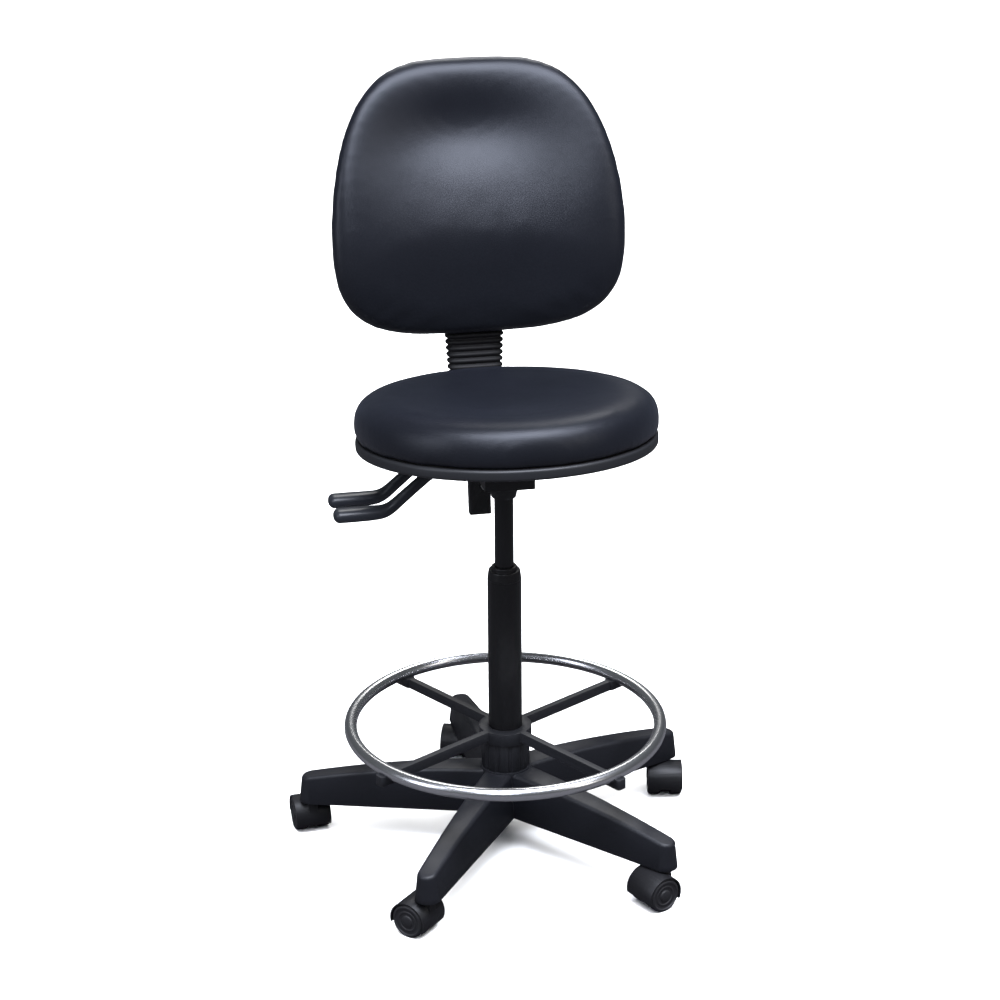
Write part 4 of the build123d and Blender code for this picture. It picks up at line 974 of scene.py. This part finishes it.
bellows_shape = bmesh.new()
ring_made = bmesh.ops.create_circle(bellows_shape, cap_ends=False, segments=OUTLINE_POINTS, radius=1.0)
outline = ring_made["verts"]
edges = [edge for edge in bellows_shape.edges]
directions = [vertex.co.copy() for vertex in outline]


def shape_ring(verts, fold, height):
    """Sets a ring of points to a rounded rectangle, drawn in by fold, at a height."""
    for vertex, direction in zip(verts, directions):
        flare = BELLOWS_FLARE * (height - BELLOWS_START) / (BELLOWS_RIBS * BELLOWS_RIB_PITCH)
        x = (BELLOWS_HALF[0] + flare - fold) * signed_power(direction.x, CORNER_POWERS[0])
        y = (BELLOWS_HALF[1] - fold) * signed_power(direction.y, CORNER_POWERS[1])
        vertex.co = upright_place @ Vector((x, y, height))


shape_ring(outline, BELLOWS_FOLD, BELLOWS_START)
for rib in range(BELLOWS_RIBS):
    for share, depth in RIB_SHAPE:
        made = bmesh.ops.extrude_edge_only(bellows_shape, edges=edges)["geom"]
        outline = [item for item in made if isinstance(item, bmesh.types.BMVert)]
        edges = [item for item in made if isinstance(item, bmesh.types.BMEdge)]
        height = BELLOWS_START + (rib + share) * BELLOWS_RIB_PITCH
        shape_ring(outline, BELLOWS_FOLD * depth, height)
bmesh.ops.holes_fill(bellows_shape, edges=bellows_shape.edges)
bmesh.ops.recalc_face_normals(bellows_shape, faces=bellows_shape.faces)
bellows = add_piece("bellows_boot", bellows_shape, bellows_rubber)
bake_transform(bellows)
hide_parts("bellows")

# %% [markdown]
# ## Lever handles
# Each handle is one moulding: a round sleeve that leaves the mechanism, drops in a long
# slope and flattens into a paddle for the fingers. A ring of points is extruded along that
# route, changing from a circle to a wide flat oval as it goes.

# %% Lever handles
SLEEVE = 0.0080
PADDLE_HALF = (0.0155, 0.0098)
ROUTE = [
    (-0.046, 0.609),
    (-0.100, 0.609),
    (-0.1105, 0.6055),
    (-0.1200, 0.5985),
    (-0.1580, 0.5665),
    (-0.1660, 0.5595),
    (-0.1755, 0.5545),
    (-0.1870, 0.5525),
    (-0.2400, 0.5525),
]
FLATTEN_FROM = -0.150
FLATTEN_OVER = 0.045
HANDLE_POINTS = 24
HANDLE_SQUARENESS = 0.8
END_STEPS = 6
END_TURN = 88
END_LENGTH = 0.0095
LEVER_OFFSET = 0.030


def handle_sections():
    """(x, z, half width, half thickness, slope) along the handle."""
    sections = []
    for index, (x, z) in enumerate(ROUTE):
        before = ROUTE[max(0, index - 1)]
        after = ROUTE[min(len(ROUTE) - 1, index + 1)]
        slope = math.atan2(after[1] - before[1], before[0] - after[0])
        flat = ease((FLATTEN_FROM - x) / FLATTEN_OVER)
        wide = SLEEVE + (PADDLE_HALF[0] - SLEEVE) * flat
        thick = SLEEVE + (PADDLE_HALF[1] - SLEEVE) * flat
        sections.append((x, z, wide, thick, slope))
    end_x, end_z, wide, thick, _ = sections[-1]
    for step in range(1, END_STEPS + 1):
        turn = math.radians(END_TURN * step / END_STEPS)
        reach = end_x - END_LENGTH * math.sin(turn)
        thin = thick * math.cos(turn) ** HANDLE_SQUARENESS
        sections.append((reach, end_z, wide * math.cos(turn), thin, 0.0))
    return sections


def make_handle(name, node, lever_y):
    """Sweeps the handle's outline along the route at one lever's place."""
    shape = bmesh.new()
    made = bmesh.ops.create_circle(shape, cap_ends=False, segments=HANDLE_POINTS, radius=1.0)
    verts = made["verts"]
    edges = [edge for edge in shape.edges]
    unit = [vertex.co.copy() for vertex in verts]
    for index, (x, z, wide, thick, slope) in enumerate(handle_sections()):
        if index:
            grown = bmesh.ops.extrude_edge_only(shape, edges=edges)["geom"]
            verts = [item for item in grown if isinstance(item, bmesh.types.BMVert)]
            edges = [item for item in grown if isinstance(item, bmesh.types.BMEdge)]
        for vertex, spot in zip(verts, unit):
            up = signed_power(spot.y, HANDLE_SQUARENESS) * thick
            side = signed_power(spot.x, HANDLE_SQUARENESS) * wide
            vertex.co = (x + up * math.sin(slope), lever_y + side, z + up * math.cos(slope))
    bmesh.ops.holes_fill(shape, edges=shape.edges)
    bmesh.ops.recalc_face_normals(shape, faces=shape.faces)
    handle = add_piece(name, shape, lever_plastic)
    finer = handle.modifiers.new("finer", "SUBSURF")
    finer.levels = 2
    finer.render_levels = 2
    return stand_for(handle, node)


make_handle("height_handle", "height_lever_grip", -LEVER_OFFSET)
make_handle("back_handle", "back_lever_grip", LEVER_OFFSET)
print("handle length:", round(ROUTE[0][0] - ROUTE[-1][0], 3))
